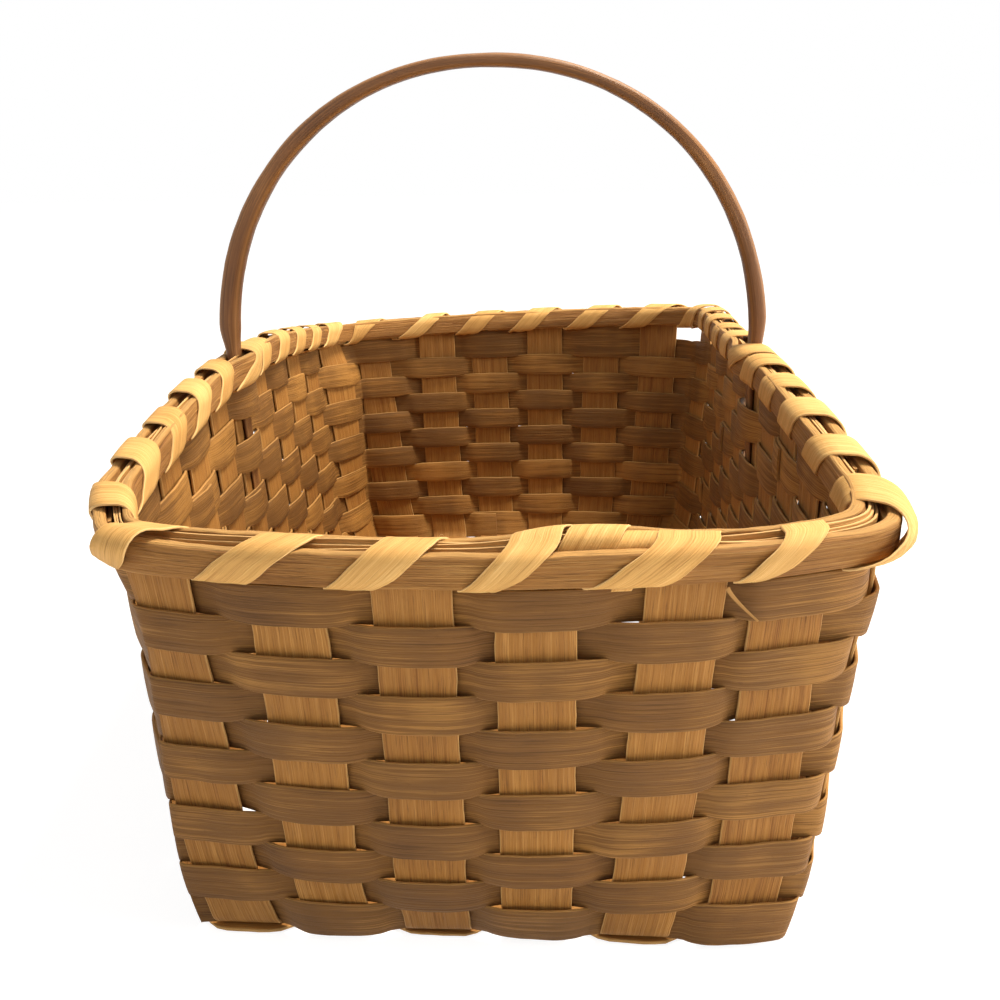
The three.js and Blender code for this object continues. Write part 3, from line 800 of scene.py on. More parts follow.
@dataclass(frozen=True)
class WovenRows:
    """The weavers: long flat splints that go over one stake and under the next, each with lapped ends."""

    crown_short_wall: float = 2.3
    crown_long_wall: float = 2.15
    crown_power: float = 3.2
    swelling: float = 0.75
    swelling_power: float = 4.0
    side_swelling: float = 0.4
    spare_height: float = 0.1
    edge_waves: Waves = ((0.14, 7.0), (0.08, 0.5))
    droop: float = 0.2
    drift: float = 0.4
    tilt: float = 0.32
    cup: float = 0.22
    foot_reach: float = 2.4
    back_foot: float = 2.0
    back_foot_places: tuple[float, float] = (17.2, 24.4)
    back_reach: float = 5.2
    back_reach_places: tuple[float, float] = (18.1, 24.0)
    back_slant: float = 1.5
    back_slant_place: float = 20.5
    # Painted light: the weavers' outer face is made lighter in a bell round this place, the right front
    # corner, where the light falls; these give its place, spread and rise.
    lit_corner_place: float = 6.9
    lit_corner_spread: float = 1.5
    lit_corner_rise: float = 0.5
    light_waves: Waves = ((0.2, 6.0), (0.24, 2.3))
    pale_rows: tuple[int, ...] = (2, 8, 10, 11)
    lap_places: float = 2.0
    lap_ease: float = 0.6
    lap_draw: float = 0.21
    lap_clearance: float = 0.08
    lap_taper: float = 0.12
    lap_starts: tuple[int, ...] = (27, 10, 31, 14, 29, 8, 33, 16, 25, 12, 21)
    steps_per_place: int = 22
    tail_clearance: float = 1.2
    sliver_place: float = 5.36
    sliver_run: float = 0.28
    sliver_width: float = 0.018
    sliver_drop: float = 10.5
    sliver_lift: float = 3.4

    def offset(self, row: int, position: Array) -> Array:
        """The in-and-out path of a row: crown * (1 - share^power), share being 1 at the middle of a gap.

        The crown is how far the row stands off the wall's middle at a stake, outward or inward, and more
        where it passes over a tail of the handle.

        Args:
            row: the row, 1 at the top.
            position: places round the loop.

        Returns:
            Signed offsets like position.
        """
        place = np.rint(position).astype(int)
        share = np.abs(position - place) * 2.0
        around = (place - 1) % PLAN.loop_count + 1
        is_out = (row + around) % 2 == 1
        height = np.where(PLAN.wall_of[around - 1] % 2 == 0, self.crown_short_wall, self.crown_long_wall)
        draw = np.random.default_rng(500 + row).uniform(-0.12, 0.3, PLAN.loop_count)
        height = height + draw[around - 1]
        if row <= PLAN.tail_rows:
            level = PLAN.rows_top - (row - 1) * PLAN.row_pitch - PLAN.tail_tip_level
            share_up = level / (PLAN.hoop_bottom - PLAN.tail_tip_level)
            tail = blend(PLAN.tail_tip, PLAN.tail_thickness, share_up)
            needed = (PLAN.stake_thickness + PLAN.weaver_thickness) / 2.0 + tail + self.tail_clearance
            height = np.where(np.isin(around, PLAN.handle_places) & ~is_out, needed, height)
        return np.where(is_out, height, -height) * (1.0 - share**self.crown_power)

    @staticmethod
    def window(around: Array, start: float, end: float) -> Array:
        """1 between two places of the loop and 0 elsewhere, with eased ends."""
        return ease(around - start, 0.3) * ease(end - around, 0.4)

    def strip(self, row: int) -> Strip:
        """A whole row, from one lapped end round the basket to the other.

        The section is carried round the wall: its width runs up the wall and its thickness out of it. In
        the lap both layers step apart by half a thickness each, and lie the same way round each stake.

        Args:
            row: the row, 1 at the top.

        Returns:
            Its points and tones.
        """
        first = self.lap_starts[row - 1]
        first = first if (row + first) % 2 == 0 else first + 1
        length = PLAN.loop_count + self.lap_places
        run = np.linspace(0.0, length, int(length * self.steps_per_place) + 1)[:, None]
        position = first + run
        into = ease(self.lap_places + self.lap_ease - run, self.lap_ease)
        out_of = ease(run - length + self.lap_places + self.lap_ease, self.lap_ease)
        seed = 1000 + row * 13
        around = (position - 1.0) % PLAN.loop_count + 1.0
        place = np.rint(position).astype(int)
        share = np.abs(position - place) * 2.0
        is_side = PLAN.wall_of[(place - 1) % PLAN.loop_count] % 2 == 1
        half = PLAN.row_pitch / 2.0 + self.spare_height + self.swelling * (1.0 - share**self.swelling_power)
        half = half + np.where(is_side, self.side_swelling, 0.0) * (1.0 - 0.7 * share**8)
        upper, lower = (half + uneven(position, start, self.edge_waves) for start in (seed, seed + 2))
        if row == PLAN.row_count:
            lower = lower + self.foot_reach + self.back_foot * self.window(around, *self.back_foot_places)
        if row == 1:
            extra = self.back_reach + self.back_slant * (self.back_slant_place - around)
            upper = upper + extra * self.window(around, *self.back_reach_places)
        taper = 1.0 - self.lap_taper * (bump(run, 0.5) + bump(run - length, 0.5))
        shares, through = SECTION.outline
        rise = np.where(shares > 0.0, upper, lower) * taper * shares
        path = self.offset(row, position)
        side = np.sign(path)
        drift = self.drift * ripple(position + 0.1 * row, 900, 9.0) - self.droop * side * (1.0 - share**2)
        apart = PLAN.weaver_thickness / 2.0 + self.lap_clearance
        path = path * (1.0 + self.lap_draw * (into + out_of)) + (out_of - into) * apart
        tilt = self.tilt * ripple(position, seed + 4, 3.1)
        offset = path + tilt * shares + self.cup * side * (1.0 - shares**2)
        offset = offset + PLAN.weaver_thickness / 2.0 * through
        height = PLAN.rows_top - (row - 0.5) * PLAN.row_pitch + drift + rise
        points = PLAN.wall_point(position, offset, height)
        pale = 0.4 if row in self.pale_rows else -0.06
        is_inside = through < 0.0
        light = 0.46 + uneven(position, seed + 5, self.light_waves, 3) + (0.3 + pale) * is_inside
        light = light + 0.16 * ripple(np.array(row * 2.3), 79, 5.0)
        # Painted light: the outer face is lighter round the right front corner, standing in for the light
        # that falls there.
        painted_corner_light = self.lit_corner_rise * bump(around - self.lit_corner_place, self.lit_corner_spread)
        light = light + painted_corner_light * ~is_inside
        grey = 0.5 + 0.3 * ripple(position, seed + 6, 5.0) - pale * is_inside
        return PLAN.settle(points, 0.0), SECTION.tones(light, grey)

    def sliver(self) -> Strip:
        """A loose sliver that has lifted off beside the fifth stake, curling out and down.

        Its path leaves the weaver's face by share^1.6 and goes down by share^0.8, and it narrows on its way.

        Returns:
            Its points and tones.
        """
        share = np.linspace(0.0, 1.0, 14)[:, None]
        across = np.array([-1.0, -0.5, 0.5, 1.0, 0.5, -0.5])
        through = np.array([0.0, 0.22, 0.22, 0.0, -0.22, -0.22])
        position = self.sliver_place + self.sliver_run * share
        position = position + self.sliver_width * (1.0 - 0.75 * share) * across
        height = PLAN.rows_top - 1.5 - self.sliver_drop * share**0.8 + 0.3 * across
        points = PLAN.wall_point(position, 2.0 + self.sliver_lift * share**1.6 + through, height)
        return PLAN.settle(points), SECTION.tones(1.0, 0.0, 1.0)

    def build(self, material: Material) -> None:
        """Makes all rows.

        Args:
            material: the weavers' wood.
        """
        for row in range(1, PLAN.row_count + 1):
            mesh = SplintMesh()
            mesh.add_strip(self.strip(row), row * 1.377)
            if row == 1:
                mesh.add_strip(self.sliver(), 3.3)
            mesh.finish(f"weaver_{row}_splint", material, Slot.WEAVER, f"weaver_{row}")


@dataclass(frozen=True)
class RimHoops:
    """The hoops that clamp the stakes' tops, and the thin filler splints between them."""

    outer_faces: tuple[float, float] = (5.55, 1.05)
    inner_faces: tuple[float, float] = (-4.4, -8.2)
    core_faces: tuple[float, float] = (-1.05, -4.05)
    core_drop: float = 0.9
    core_step: float = 0.6
    core_gap: float = 0.17
    core_clearance: float = 0.12
    core_steps_per_place: int = 14
    inner_lift: float = 1.2
    lap: float = 2.6
    lap_thinning: float = 0.62
    lap_full: float = 1.15
    squareness: float = 5.0
    face_waves: Waves = ((0.056, 4.0), (0.016, 0.7))
    top_waves: Waves = ((0.35, 3.3), (0.12, 0.6))
    edge_trim: float = 0.2
    crown: float = 0.35
    furrow: float = 0.2
    furrow_rate: float = 8.5
    steps_per_place: int = 16
    section_points: int = 36
    layer_count: int = 3
    handle_swell: float = 3.6
    handle_spread: float = 0.42
    outer_swell: float = 0.34
    hump_rise: float = 4.4
    hump_place: float = 4.3
    hump_spread: float = 0.52
    inner_hump: float = 0.7
    core_hump: float = 0.3

    def hump(self, position: Array) -> Array:
        """How far the filler has sprung up in the middle of the front rim: a bell curve along it."""
        return self.hump_rise * bump(PLAN.apart(position, self.hump_place), self.hump_spread)

    def swell(self, position: Array) -> Array:
        """How far the inner hoop is pushed in by the handle: a bell curve at each end of it."""
        bells = (bump(PLAN.apart(position, place), self.handle_spread) for place in PLAN.handle_places)
        return self.handle_swell * sum(bells)

    def hoop(self, faces: tuple[float, float], seed: int, first: float, out_sign: float) -> Strip:
        """One hoop, whose two ends are thinned and lie on each other in a lap.

        A superellipse section is carried round the rim. Over the lap each end's thickness falls off by a
        smooth step, the one from outside and the other from inside, so that together they keep the hoop's.

        Args:
            faces: offsets of its outer and inner face.
            seed: picks its unevenness.
            first: the place where it starts.
            out_sign: 1 for the outer hoop, -1 for the inner one.

        Returns:
            Its points and tones.
        """
        outside, inside = faces
        length = PLAN.loop_count + self.lap
        run = np.linspace(0.0, length, int(length * self.steps_per_place) + 1)[:, None]
        position = first + run
        thin_start, thin_end = (1.0 - self.lap_thinning * ease(self.lap_full - far / self.lap)
                                for far in (run, length - run))
        half = (outside - inside) / 2.0
        depth, height, _ = rounded_outline(self.squareness, self.section_points)
        half_now = half * thin_start * thin_end + uneven(position, seed, self.face_waves)
        centre = (outside + inside) / 2.0 + half * out_sign * (thin_start - thin_end)
        crown = self.crown * np.cos(height * math.pi / 2.0) * (depth * out_sign > 0.0) * out_sign
        layers = self.furrow_rate * height + 1.2 * ripple(position, seed + 5, 6.0)
        layers = ripple(layers, seed + 6, 6.0)
        offset = centre + (half_now + self.furrow * layers) * depth + crown
        push = self.outer_swell if out_sign > 0.0 else -1.0
        offset = offset + push * self.swell(position)
        rise = (PLAN.hoop_top - PLAN.hoop_bottom) / 2.0 - self.edge_trim
        upper = rise + uneven(position, seed + 2, self.top_waves)
        lower = rise - 0.25 * ripple(position, seed + 4, 3.7)
        level = (PLAN.hoop_top + PLAN.hoop_bottom) / 2.0
        level = level + np.where(height > 0.0, upper, lower) * height
        if out_sign < 0.0:
            level = level + self.inner_lift + self.inner_hump * self.hump(position)
        light = 0.5 + 0.2 * ripple(position, seed + 8, 5.0) + 0.22 * layers
        tone = SECTION.tones(light, 0.3, ease(height - 0.86, 0.12))
        return PLAN.rim_point(position, offset, level), tone

    def filler(self, start: float, end: float, layer: int) -> Strip:
        """One thin filler splint beside the stakes' tops, from one handle tail to the other.

        Args:
            start: first place.
            end: last place.
            layer: which of the layers, from 0 at the outside.

        Returns:
            Its points and tones.
        """
        position = np.linspace(start, end, int((end - start) * self.core_steps_per_place))[:, None]
        thick = (self.core_faces[0] - self.core_faces[1]) / self.layer_count
        middle = self.core_faces[0] - thick * (layer + 0.5)
        seed = 3000 + layer * 17 + int(start)
        shares, through = SECTION.outline
        top = PLAN.hoop_top - self.core_drop + self.core_step * layer + ripple(position, seed, 6.3, 3)
        top = top + self.hump(position) * self.core_hump * (1 + layer)
        bottom = PLAN.hoop_bottom + 0.4 + 0.4 * ripple(position, seed + 1, 4.0)
        wander = 0.1 * ripple(position, seed + 2, 4.7, 3)
        offset = middle + wander + (thick / 2.0 - self.core_clearance) * through
        level = (top + bottom) / 2.0 + (top - bottom) / 2.0 * shares
        light = 0.55 + 0.25 * ripple(position, seed + 4, 3.0)
        return PLAN.rim_point(position, offset, level), SECTION.tones(light, 0.2)

    def build(self, hoop_wood: Material, core_wood: Material) -> None:
        """Makes both hoops and the two runs of filler.

        Args:
            hoop_wood: the hoops' material.
            core_wood: the filler's material.
        """
        for node, faces, seed, first, sign in (("outer_rim_hoop", self.outer_faces, 2100, 20.2, 1.0),
                                               ("inner_rim_hoop", self.inner_faces, 2200, 4.4, -1.0)):
            mesh = SplintMesh()
            mesh.add_strip(self.hoop(faces, seed, first, sign), seed * 0.01)
            mesh.finish(f"{node}_splint", hoop_wood, Slot.HOOP, node)
        right, left = PLAN.handle_places
        for side, start, end in (("back", right, left), ("front", left, right + PLAN.loop_count)):
            start, end = start + self.core_gap, end - self.core_gap
            mesh = SplintMesh()
            for layer in range(self.layer_count):
                mesh.add_strip(self.filler(start, end, layer), layer * 2.1 + start)
            mesh.finish(f"rim_core_{side}_splints", core_wood, Slot.CORE, f"rim_core_{side}")


HOOPS = RimHoops()


@dataclass(frozen=True)
class RimLashing:
    """One long splint wound round both hoops, one turn in each gap between stakes.

    Corner turns are looser: each is the gap's number in the loop, the slack and the angle where it bulges
    most. A tucked end is the place where it starts, its half width in places and its drop. Its bend has a
    depth and a height, and its legs are how far it goes down before and after.
    """

    width: float = 16.2
    side_width: float = 19.5
    thickness: float = 0.9
    outer: float = 6.25
    inner: float = -9.0
    stand_off: float = 0.95
    power: float = 2.8
    sweep_share: float = 0.55
    steps_per_turn: int = 44
    handle_clear: float = 15.0
    seed: int = 41
    side_gap: float = 1.2
    side_slack: float = 0.8
    top_slack: float = 0.5
    face_slack: float = 0.4
    uneven_width: float = 0.9
    buckle: float = 0.32
    cup: float = 0.25
    corner_turns: tuple[Triple, ...] = ((PLAN.long_count, 3.2, 0.0), (0, 5.4, 0.5))
    tucked_ends: tuple[Triple, ...] = ((4.2, 0.185, 0.0), (4.47, 0.16, 1.6))
    end_run: float = 0.42
    end_bend: tuple[float, float] = (4.9, 3.8)
    end_legs: tuple[float, float] = (12.0, 11.0)
    end_hump: float = 0.55
    whisker_count: int = 60
    whisker_width: float = 0.09

    @property
    def middle(self) -> tuple[float, float]:
        """The winding's middle: its offset out of the wall and its level."""
        return (self.outer + self.inner) / 2.0, (PLAN.hoop_top + PLAN.hoop_bottom) / 2.0

    @property
    def half(self) -> tuple[float, float]:
        """Half the winding's depth and height."""
        return (self.outer - self.inner) / 2.0, PLAN.hoop_height / 2.0 + self.stand_off

    def turn_share(self, angle: Array) -> Array:
        """How far round the rim the splint has gone within a turn, from 0 to 1.

        The angle goes from -90 degrees under the rim over the outer face, the top and the inner face. The
        advance is a mix of one even in height and one even in angle, which gives the splint its S shape.

        Args:
            angle: angles round the winding.

        Returns:
            Shares like angle.
        """
        climb = (signed_power(np.sin(angle), 2.0 / self.power) + 1.0) / 4.0
        climb = np.where(angle <= HALF_TURN / 2.0, climb, 1.0 - climb)
        return blend(climb, (angle + HALF_TURN / 2.0) / (2.0 * math.pi), self.sweep_share)

    def ribbon(self) -> Strip:
        """The whole lashing as one loop.

        Its middle winds round a superellipse section whose angle grows by a full turn for each place. Its
        width lies along the rim, narrow where it passes between two stakes, and its thickness stands out of
        the section's curve.

        Returns:
            Its points and tones.
        """
        loop, steps = PLAN.loop_count, self.steps_per_turn
        turn = np.repeat(np.arange(loop), steps)[:, None]
        number = (turn + 1) % loop
        angle = -HALF_TURN / 2.0 + np.tile(np.arange(steps) / steps, loop)[:, None] * 2.0 * math.pi
        cos, sin = np.cos(angle), np.sin(angle)
        over, facing = np.maximum(sin, 0.0), np.maximum(cos, 0.0)
        pitch = PLAN.pitch_at(turn + 2, PLAN.hoop_top)
        seeds = np.random.default_rng(self.seed).uniform(-1.0, 1.0, (loop, 6))[turn]
        ahead, high, far, wide, waved, bent = np.moveaxis(seeds, -1, 0)
        centre = turn + 1.5 + self.turn_share(angle) + 0.05 * ahead * over
        back = np.where(np.isin(number + 1, PLAN.handle_places), self.handle_clear / pitch, 0.0)
        centre = centre - back * ease(sin + 0.6, 1.4)
        half_depth, half_height = self.half
        depth = half_depth * signed_power(cos, 2.0 / self.power)
        height = half_height * signed_power(sin, 2.0 / self.power)
        is_side = PLAN.wall_of[number] % 2 == 1
        loose = self.top_slack * (1.2 + high) * over + self.face_slack * (1.2 + far) * facing
        loose = loose + np.where(is_side, self.side_slack, 0.0) * over
        for corner, slack, bulge in self.corner_turns:
            loose = loose + slack * (number == corner) * np.maximum(np.cos(angle - bulge), 0.0) ** 4
        out = np.stack([signed_power(cos, self.power - 1.0) / half_depth,
                        signed_power(sin, self.power - 1.0) / half_height])
        out_depth, out_height = out / np.hypot(*out)
        gap = PLAN.pitch_at(turn + 1, PLAN.rows_top) - PLAN.stake_width - 2.0 * self.side_gap
        gap = np.minimum(gap, self.width)
        under = ease(-sin - 0.72, 0.26)
        full = np.where(is_side, self.side_width, self.width) + self.uneven_width * wide
        left = blend(full, gap, ease(-sin - 0.82, 0.17))
        right = blend(full, gap, np.where(cos > 0.0, ease(-sin + 0.1, 0.85), under))
        shares, through = SECTION.outline
        across = np.where(shares < 0.0, left, right) / 2.0 * shares
        position = centre + across / pitch
        lift = loose + self.thickness / 2.0 * through
        lift = lift + self.buckle * np.sin(shares * 5.0 + waved * 3.0) * under
        lift = lift + self.cup * shares**2 * (bent * over)
        offset = self.middle[0] + depth + out_depth * lift
        offset = offset - HOOPS.swell(position) * ease(0.2 - depth / half_depth)
        inward = ease(0.75 - depth / half_depth) * ease(0.5 + height / half_height)
        level = self.middle[1] + height + out_height * lift + HOOPS.hump(position) * inward
        light = 0.55 + 0.18 * far + 0.15 * ripple(centre * 3.0, 51, 5.0)
        return PLAN.rim_point(position, offset, level), SECTION.tones(light, 0.15)

    def tucked_end(self, start: float, half_width: float, drop: float) -> Strip:
        """A tucked end of the lashing, which comes up between the hoops and over the inner one.

        Its path rises beside the outer hoop, bends over by a half circle and goes down inside, and drifts
        along the rim on its way.

        Args:
            start: the place where its path starts.
            half_width: half its width, in places.
            drop: how much lower than the highest it lies.

        Returns:
            Its points and tones.
        """
        share = np.linspace(0.0, 1.0, 30)[:, None]
        angle = ramp(share - 0.3, 0.4) * math.pi
        shares, through = SECTION.outline
        lift = self.thickness / 2.0 * through
        deep, high = self.end_bend
        up, down = self.end_legs
        position = start + self.end_run * share + shares * half_width
        height = PLAN.hoop_top - 1.2 - drop + (high + lift) * np.sin(angle)
        height = height - up * ramp(0.3 - share, 0.3) - down * ramp(share - 0.7, 0.3)
        height = height + self.end_hump * HOOPS.hump(position) * ease(share, 0.3)
        points = PLAN.rim_point(position, -4.3 + (deep + lift) * np.cos(angle), height)
        return points, SECTION.tones(0.6, 0.2)

    def whisker(self, seed: int) -> Strip:
        """A hair-thin fibre that has lifted off the rim: a short curl with a tapered square section.

        Args:
            seed: picks its place, length and bend.

        Returns:
            Its points and tones.
        """
        draw = np.random.default_rng(7000 + seed).uniform(0.0, 1.0, 6)
        share = np.linspace(0.0, 1.0, 6)[:, None]
        position = 1.0 + PLAN.loop_count * draw[0] + (draw[1] - 0.5) * 0.16 * share
        angle = math.pi * (0.05 + 0.75 * draw[2])
        stand = 0.2 + (0.8 + 1.8 * draw[3]) * np.sin(share * (1.2 + draw[4]))
        width = self.whisker_width * (1.0 - 0.8 * share)
        offset = self.middle[0] + (self.half[0] + stand) * math.cos(angle) + width * [-1.0, 1.0, 1.0, -1.0]
        level = PLAN.hoop_top - 2.0 + (3.4 + stand) * math.sin(angle) - 3.0 * draw[5] * share
        points = PLAN.rim_point(position, offset, level + width * [-1.0, -1.0, 1.0, 1.0])
        return points, SECTION.tones(0.9, 0.0, 0.6)

    def build(self, material: Material) -> None:
        """Makes the lashing with its tucked ends and a few lifted fibres.

        Args:
            material: the lashing's wood.
        """
        mesh = SplintMesh()
        mesh.add_strip(self.ribbon(), 5.1, is_loop=True)
        for start, half_width, drop in self.tucked_ends:
            mesh.add_strip(self.tucked_end(start, half_width, drop), 9.4 + start)
        for number in range(self.whisker_count):
            mesh.add_strip(self.whisker(number), number * 0.31)
        mesh.finish("rim_lashing_splint", material, Slot.LASHING, "rim_lashing")


@dataclass(frozen=True)
class BentHandle:
    """The bent rod, with flat tails that go down between the hoops and behind the inside weavers."""

    height: float = 312.8
    rim_shift: float = 3.1
    shift_length: float = 8.0
    spring_out: float = 1.3
    spring_start: float = 3.0
    spring_length: float = 20.0
    arch_power: float = 2.1
    squareness: float = 3.0
    rod_depth: float = 10.5
    left_thickness: float = 9.8
    right_thickness: float = 7.8
    apex_thickness: float = 6.0
    rim_thickness: float = 6.2
    tail_width: float = 10.0
    taper_length: float = 16.0
    thickness_waves: Waves = ((0.035, 110.0), (0.008, 14.0))
    sideways_bow: float = 0.7
    section_points: int = 28
    arch_steps: int = 150
    tail_steps: int = 26
    stake_face: float = 1.05

    def reach(self, level: Array) -> Array:
        """How far out from the middle the stake's inner face is at a height."""
        middle, _, _ = PLAN.frame_at(np.full(level.shape, PLAN.handle_places[0]), level)
        return middle[..., 0] - self.stake_face

    def spring(self, level: Array) -> Array:
        """How far the rod has sprung out over the rim at a height, by a smooth step."""
        return self.spring_out * ease(level - PLAN.hoop_top + self.spring_start, self.spring_length)

    def rod(self) -> Strip:
        """The handle from tail tip to tail tip.

        The tails follow the stakes' inner face, and the arch is half a superellipse that springs out a little
        over the rim. A superellipse section is carried along: its depth runs along the basket and its
        thickness out of the arch.

        Returns:
            Its points and tones.
        """
        tip, top = PLAN.tail_tip_level + PLAN.row_gap, PLAN.hoop_top
        tail = np.linspace(tip, top, self.tail_steps)
        tail_thick = blend(PLAN.tail_tip, PLAN.tail_thickness, ramp(tail - tip, PLAN.hoop_bottom - tip))
        at_rim = ease(tail - PLAN.hoop_bottom, top - PLAN.hoop_bottom)
        tail_thick = blend(tail_thick, self.rim_thickness, at_rim)
        tail_x = self.reach(tail) - tail_thick / 2.0
        span = float(tail_x[-1])
        tail_x = tail_x + self.rim_shift * ease(tail - PLAN.rows_top, self.shift_length) + self.spring(tail)
        rise = self.height - PLAN.side_rise - self.apex_thickness / 2.0 - top
        angle = np.linspace(0.0, math.pi, self.arch_steps)[1:-1]
        arch_z = top + rise * np.sin(angle) ** (2.0 / self.arch_power)
        arch_x = signed_power(np.cos(angle), 2.0 / self.arch_power)
        arch_x = arch_x * (span + self.rim_shift + self.spring(arch_z))
        step_x, step_z = np.gradient(arch_x), np.gradient(arch_z)
        slope = np.hypot(step_x, step_z)
        side = np.cos(angle)
        shoulder = np.where(side > 0.0, self.right_thickness, self.left_thickness)
        grown = ease(arch_z - top, self.taper_length)
        arch_thick = blend(self.rim_thickness, blend(self.apex_thickness, shoulder, side**2), grown)
        arch_width = blend(self.tail_width, self.rod_depth, grown)
        one, none, wide = (np.full(tail.size, value) for value in (1.0, 0.0, self.tail_width))
        x, z, out_x, out_z, thick, width = (
            np.concatenate(parts)[:, None] for parts in (
                (tail_x, arch_x, -tail_x[::-1]), (tail, arch_z, tail[::-1]),
                (one, step_z / slope, -one), (none, -step_x / slope, none),
                (tail_thick, arch_thick, tail_thick[::-1]), (wide, arch_width, wide))
        )
        along = distances(np.concatenate([x, z], -1))[:, None]
        share = along / along[-1]
        thick = thick * (1.0 + uneven(along, 61, self.thickness_waves))
        width = width * (1.0 + 0.03 * ripple(along, 63, 120.0))
        depth, across, angle_round = rounded_outline(self.squareness, self.section_points)
        bow = self.sideways_bow * ripple(along, 64, 260.0) * np.sin(share * math.pi)
        push = thick / 2.0 * depth
        points = np.stack([x + out_x * push, bow + width / 2.0 * across, z + out_z * push], -1)
        light = 0.5 + 0.25 * ripple(along, 65, 130.0)
        edge = 0.8 * bump(np.abs(np.abs(np.cos(angle_round)) - 0.7), 0.16)
        return PLAN.settle(points), SECTION.tones(light, bump(share - 0.5, 0.12), edge)

    def build(self, material: Material) -> None:
        """Makes the handle.

        Args:
            material: the handle's wood.
        """
        mesh = SplintMesh()
        mesh.add_strip(self.rod(), 2.2)
        mesh.finish("handle_rod", material, Slot.HANDLE, "handle", sharp=70.0)


class NodeBoard:
    """Short calls for laying out shader nodes in one tree."""

    def __init__(self, owner: bpy.types.ID) -> None:
        """Takes a node group, or the emptied tree of a material or world.

        Args:
            owner: the node group, material or world.
        """
        is_group = isinstance(owner, bpy.types.NodeTree)
        if not is_group:
            owner.use_nodes = True
            owner.node_tree.nodes.clear()
        self.tree = owner if is_group else owner.node_tree

    def add(self, kind: str, **settings: object) -> Node:
        """Adds a shader node.

        Args:
            kind: the node's type without its prefix.
            **settings: its properties, or its sockets by name with _ for a space, to be set or linked.

        Returns:
            The node.
        """
        node = self.tree.nodes.new(kind if kind.startswith("NodeGroup") else f"ShaderNode{kind}")
        for name, value in settings.items():
            if hasattr(node, name):
                setattr(node, name, value)
            else:
                self.feed(node.inputs[name.replace("_", " ")], value)
        return node

    def feed(self, socket: Socket, value: object) -> None:
        """Links a socket if the value is one, and else sets the value.

        Args:
            socket: the input.
            value: an output socket, or a number or colour.
        """
        if isinstance(value, Socket):
            self.tree.links.new(value, socket)
        else:
            socket.default_value = value

    def maths(self, operation: str, *values: object, clamp: bool = False) -> Socket:
        """A Math node.

        Args:
            operation: what it does.
            *values: sockets or numbers.
            clamp: whether the result is held between 0 and 1.

        Returns:
            The result.
        """
        node = self.add("Math", operation=operation, use_clamp=clamp)
        for socket, value in zip(node.inputs, values):
            self.feed(socket, value)
        return node.outputs[0]

    def scaled(self, value: object, factor: object, clamp: bool = False) -> Socket:
        """The value times a factor."""
        return self.maths("MULTIPLY", value, factor, clamp=clamp)

    def mix(self, share: object, low: object, high: object) -> Socket:
        """A colour Mix node.

        Args:
            share: how far from low to high.
            low: colour where the share is 0.
            high: colour where the share is 1.

        Returns:
            The mixed colour.
        """
        node = self.add("Mix", data_type="RGBA")
        for index, value in ((0, share), (6, low), (7, high)):
            self.feed(node.inputs[index], value)
        return node.outputs[2]

    def noise(self, vector: Socket, scale: float, detail: float, rough: float) -> Socket:
        """The value of a noise texture.

        Args:
            vector: where it is read.
            scale: its scale.
            detail: its detail.
            rough: its roughness.

        Returns:
            The value.
        """
        node = self.add("TexNoise", Vector=vector, Scale=scale, Detail=detail, Roughness=rough)
        return node.outputs["Fac"]

    def stretched(self, vector: Socket, along: object, across: object) -> Socket:
        """The vector with its first axis divided by a length and its second by a width.

        Args:
            vector: the vector.
            along: the length.
            across: the width.

        Returns:
            The scaled vector, flat.
        """
        x, y, _ = self.add("SeparateXYZ", Vector=vector).outputs
        node = self.add("CombineXYZ", X=self.maths("DIVIDE", x, along), Y=self.maths("DIVIDE", y, across))
        return node.outputs[0]

    def levels(self, value: object, low: float, high: float) -> Socket:
        """The value stretched so that low becomes 0 and high becomes 1, held between them.

        Args:
            value: the socket or number.
            low: what becomes 0.
            high: what becomes 1.

        Returns:
            The stretched value.
        """
        node = self.add("MapRange", interpolation_type="SMOOTHSTEP", From_Min=low, From_Max=high)
        self.feed(node.inputs["Value"], value)
        return node.outputs["Result"]

    def seen(self) -> Socket:
        """Where the camera sees the surface, straight or in gloss or glass.

        Returns:
            1 there and 0 for all other light.
        """
        path = self.add("LightPath").outputs
        seen = self.maths("MAXIMUM", path["Is Camera Ray"], path["Is Glossy Ray"])
        return self.maths("MAXIMUM", seen, path["Is Transmission Ray"])

    def mix_shaders(self, share: Socket, low: Node, high: Node) -> Socket:
        """A Mix Shader node.

        Args:
            share: how far from low to high.
            low: shader where the share is 0.
            high: shader where the share is 1.

        Returns:
            The mixed shader.
        """
        node = self.add("MixShader", Fac=share)
        self.feed(node.inputs[1], low.outputs[0])
        self.feed(node.inputs[2], high.outputs[0])
        return node.outputs[0]


def start_group(name: str, inputs: dict[str, float | None],
                outputs: tuple[str, ...]) -> tuple[NodeBoard, Sockets, Sockets]:
    """Starts a shader node group with named sockets.

    Args:
        name: the group's name.
        inputs: names with their usual numbers, or None for a vector.
        outputs: names of the numbers that it puts out.

    Returns:
        Its board, its input sockets and its output sockets, found by name.
    """
    tree = bpy.data.node_groups.new(name, "ShaderNodeTree")
    for label, value in inputs.items():
        kind = "NodeSocketVector" if value is None else "NodeSocketFloat"
        socket = tree.interface.new_socket(label, in_out="INPUT", socket_type=kind)
        if value is not None:
            socket.default_value = value
    for label in outputs:
        tree.interface.new_socket(label, in_out="OUTPUT", socket_type="NodeSocketFloat")
    board = NodeBoard(tree)
    return board, board.add("NodeGroupInput").outputs, board.add("NodeGroupOutput").inputs


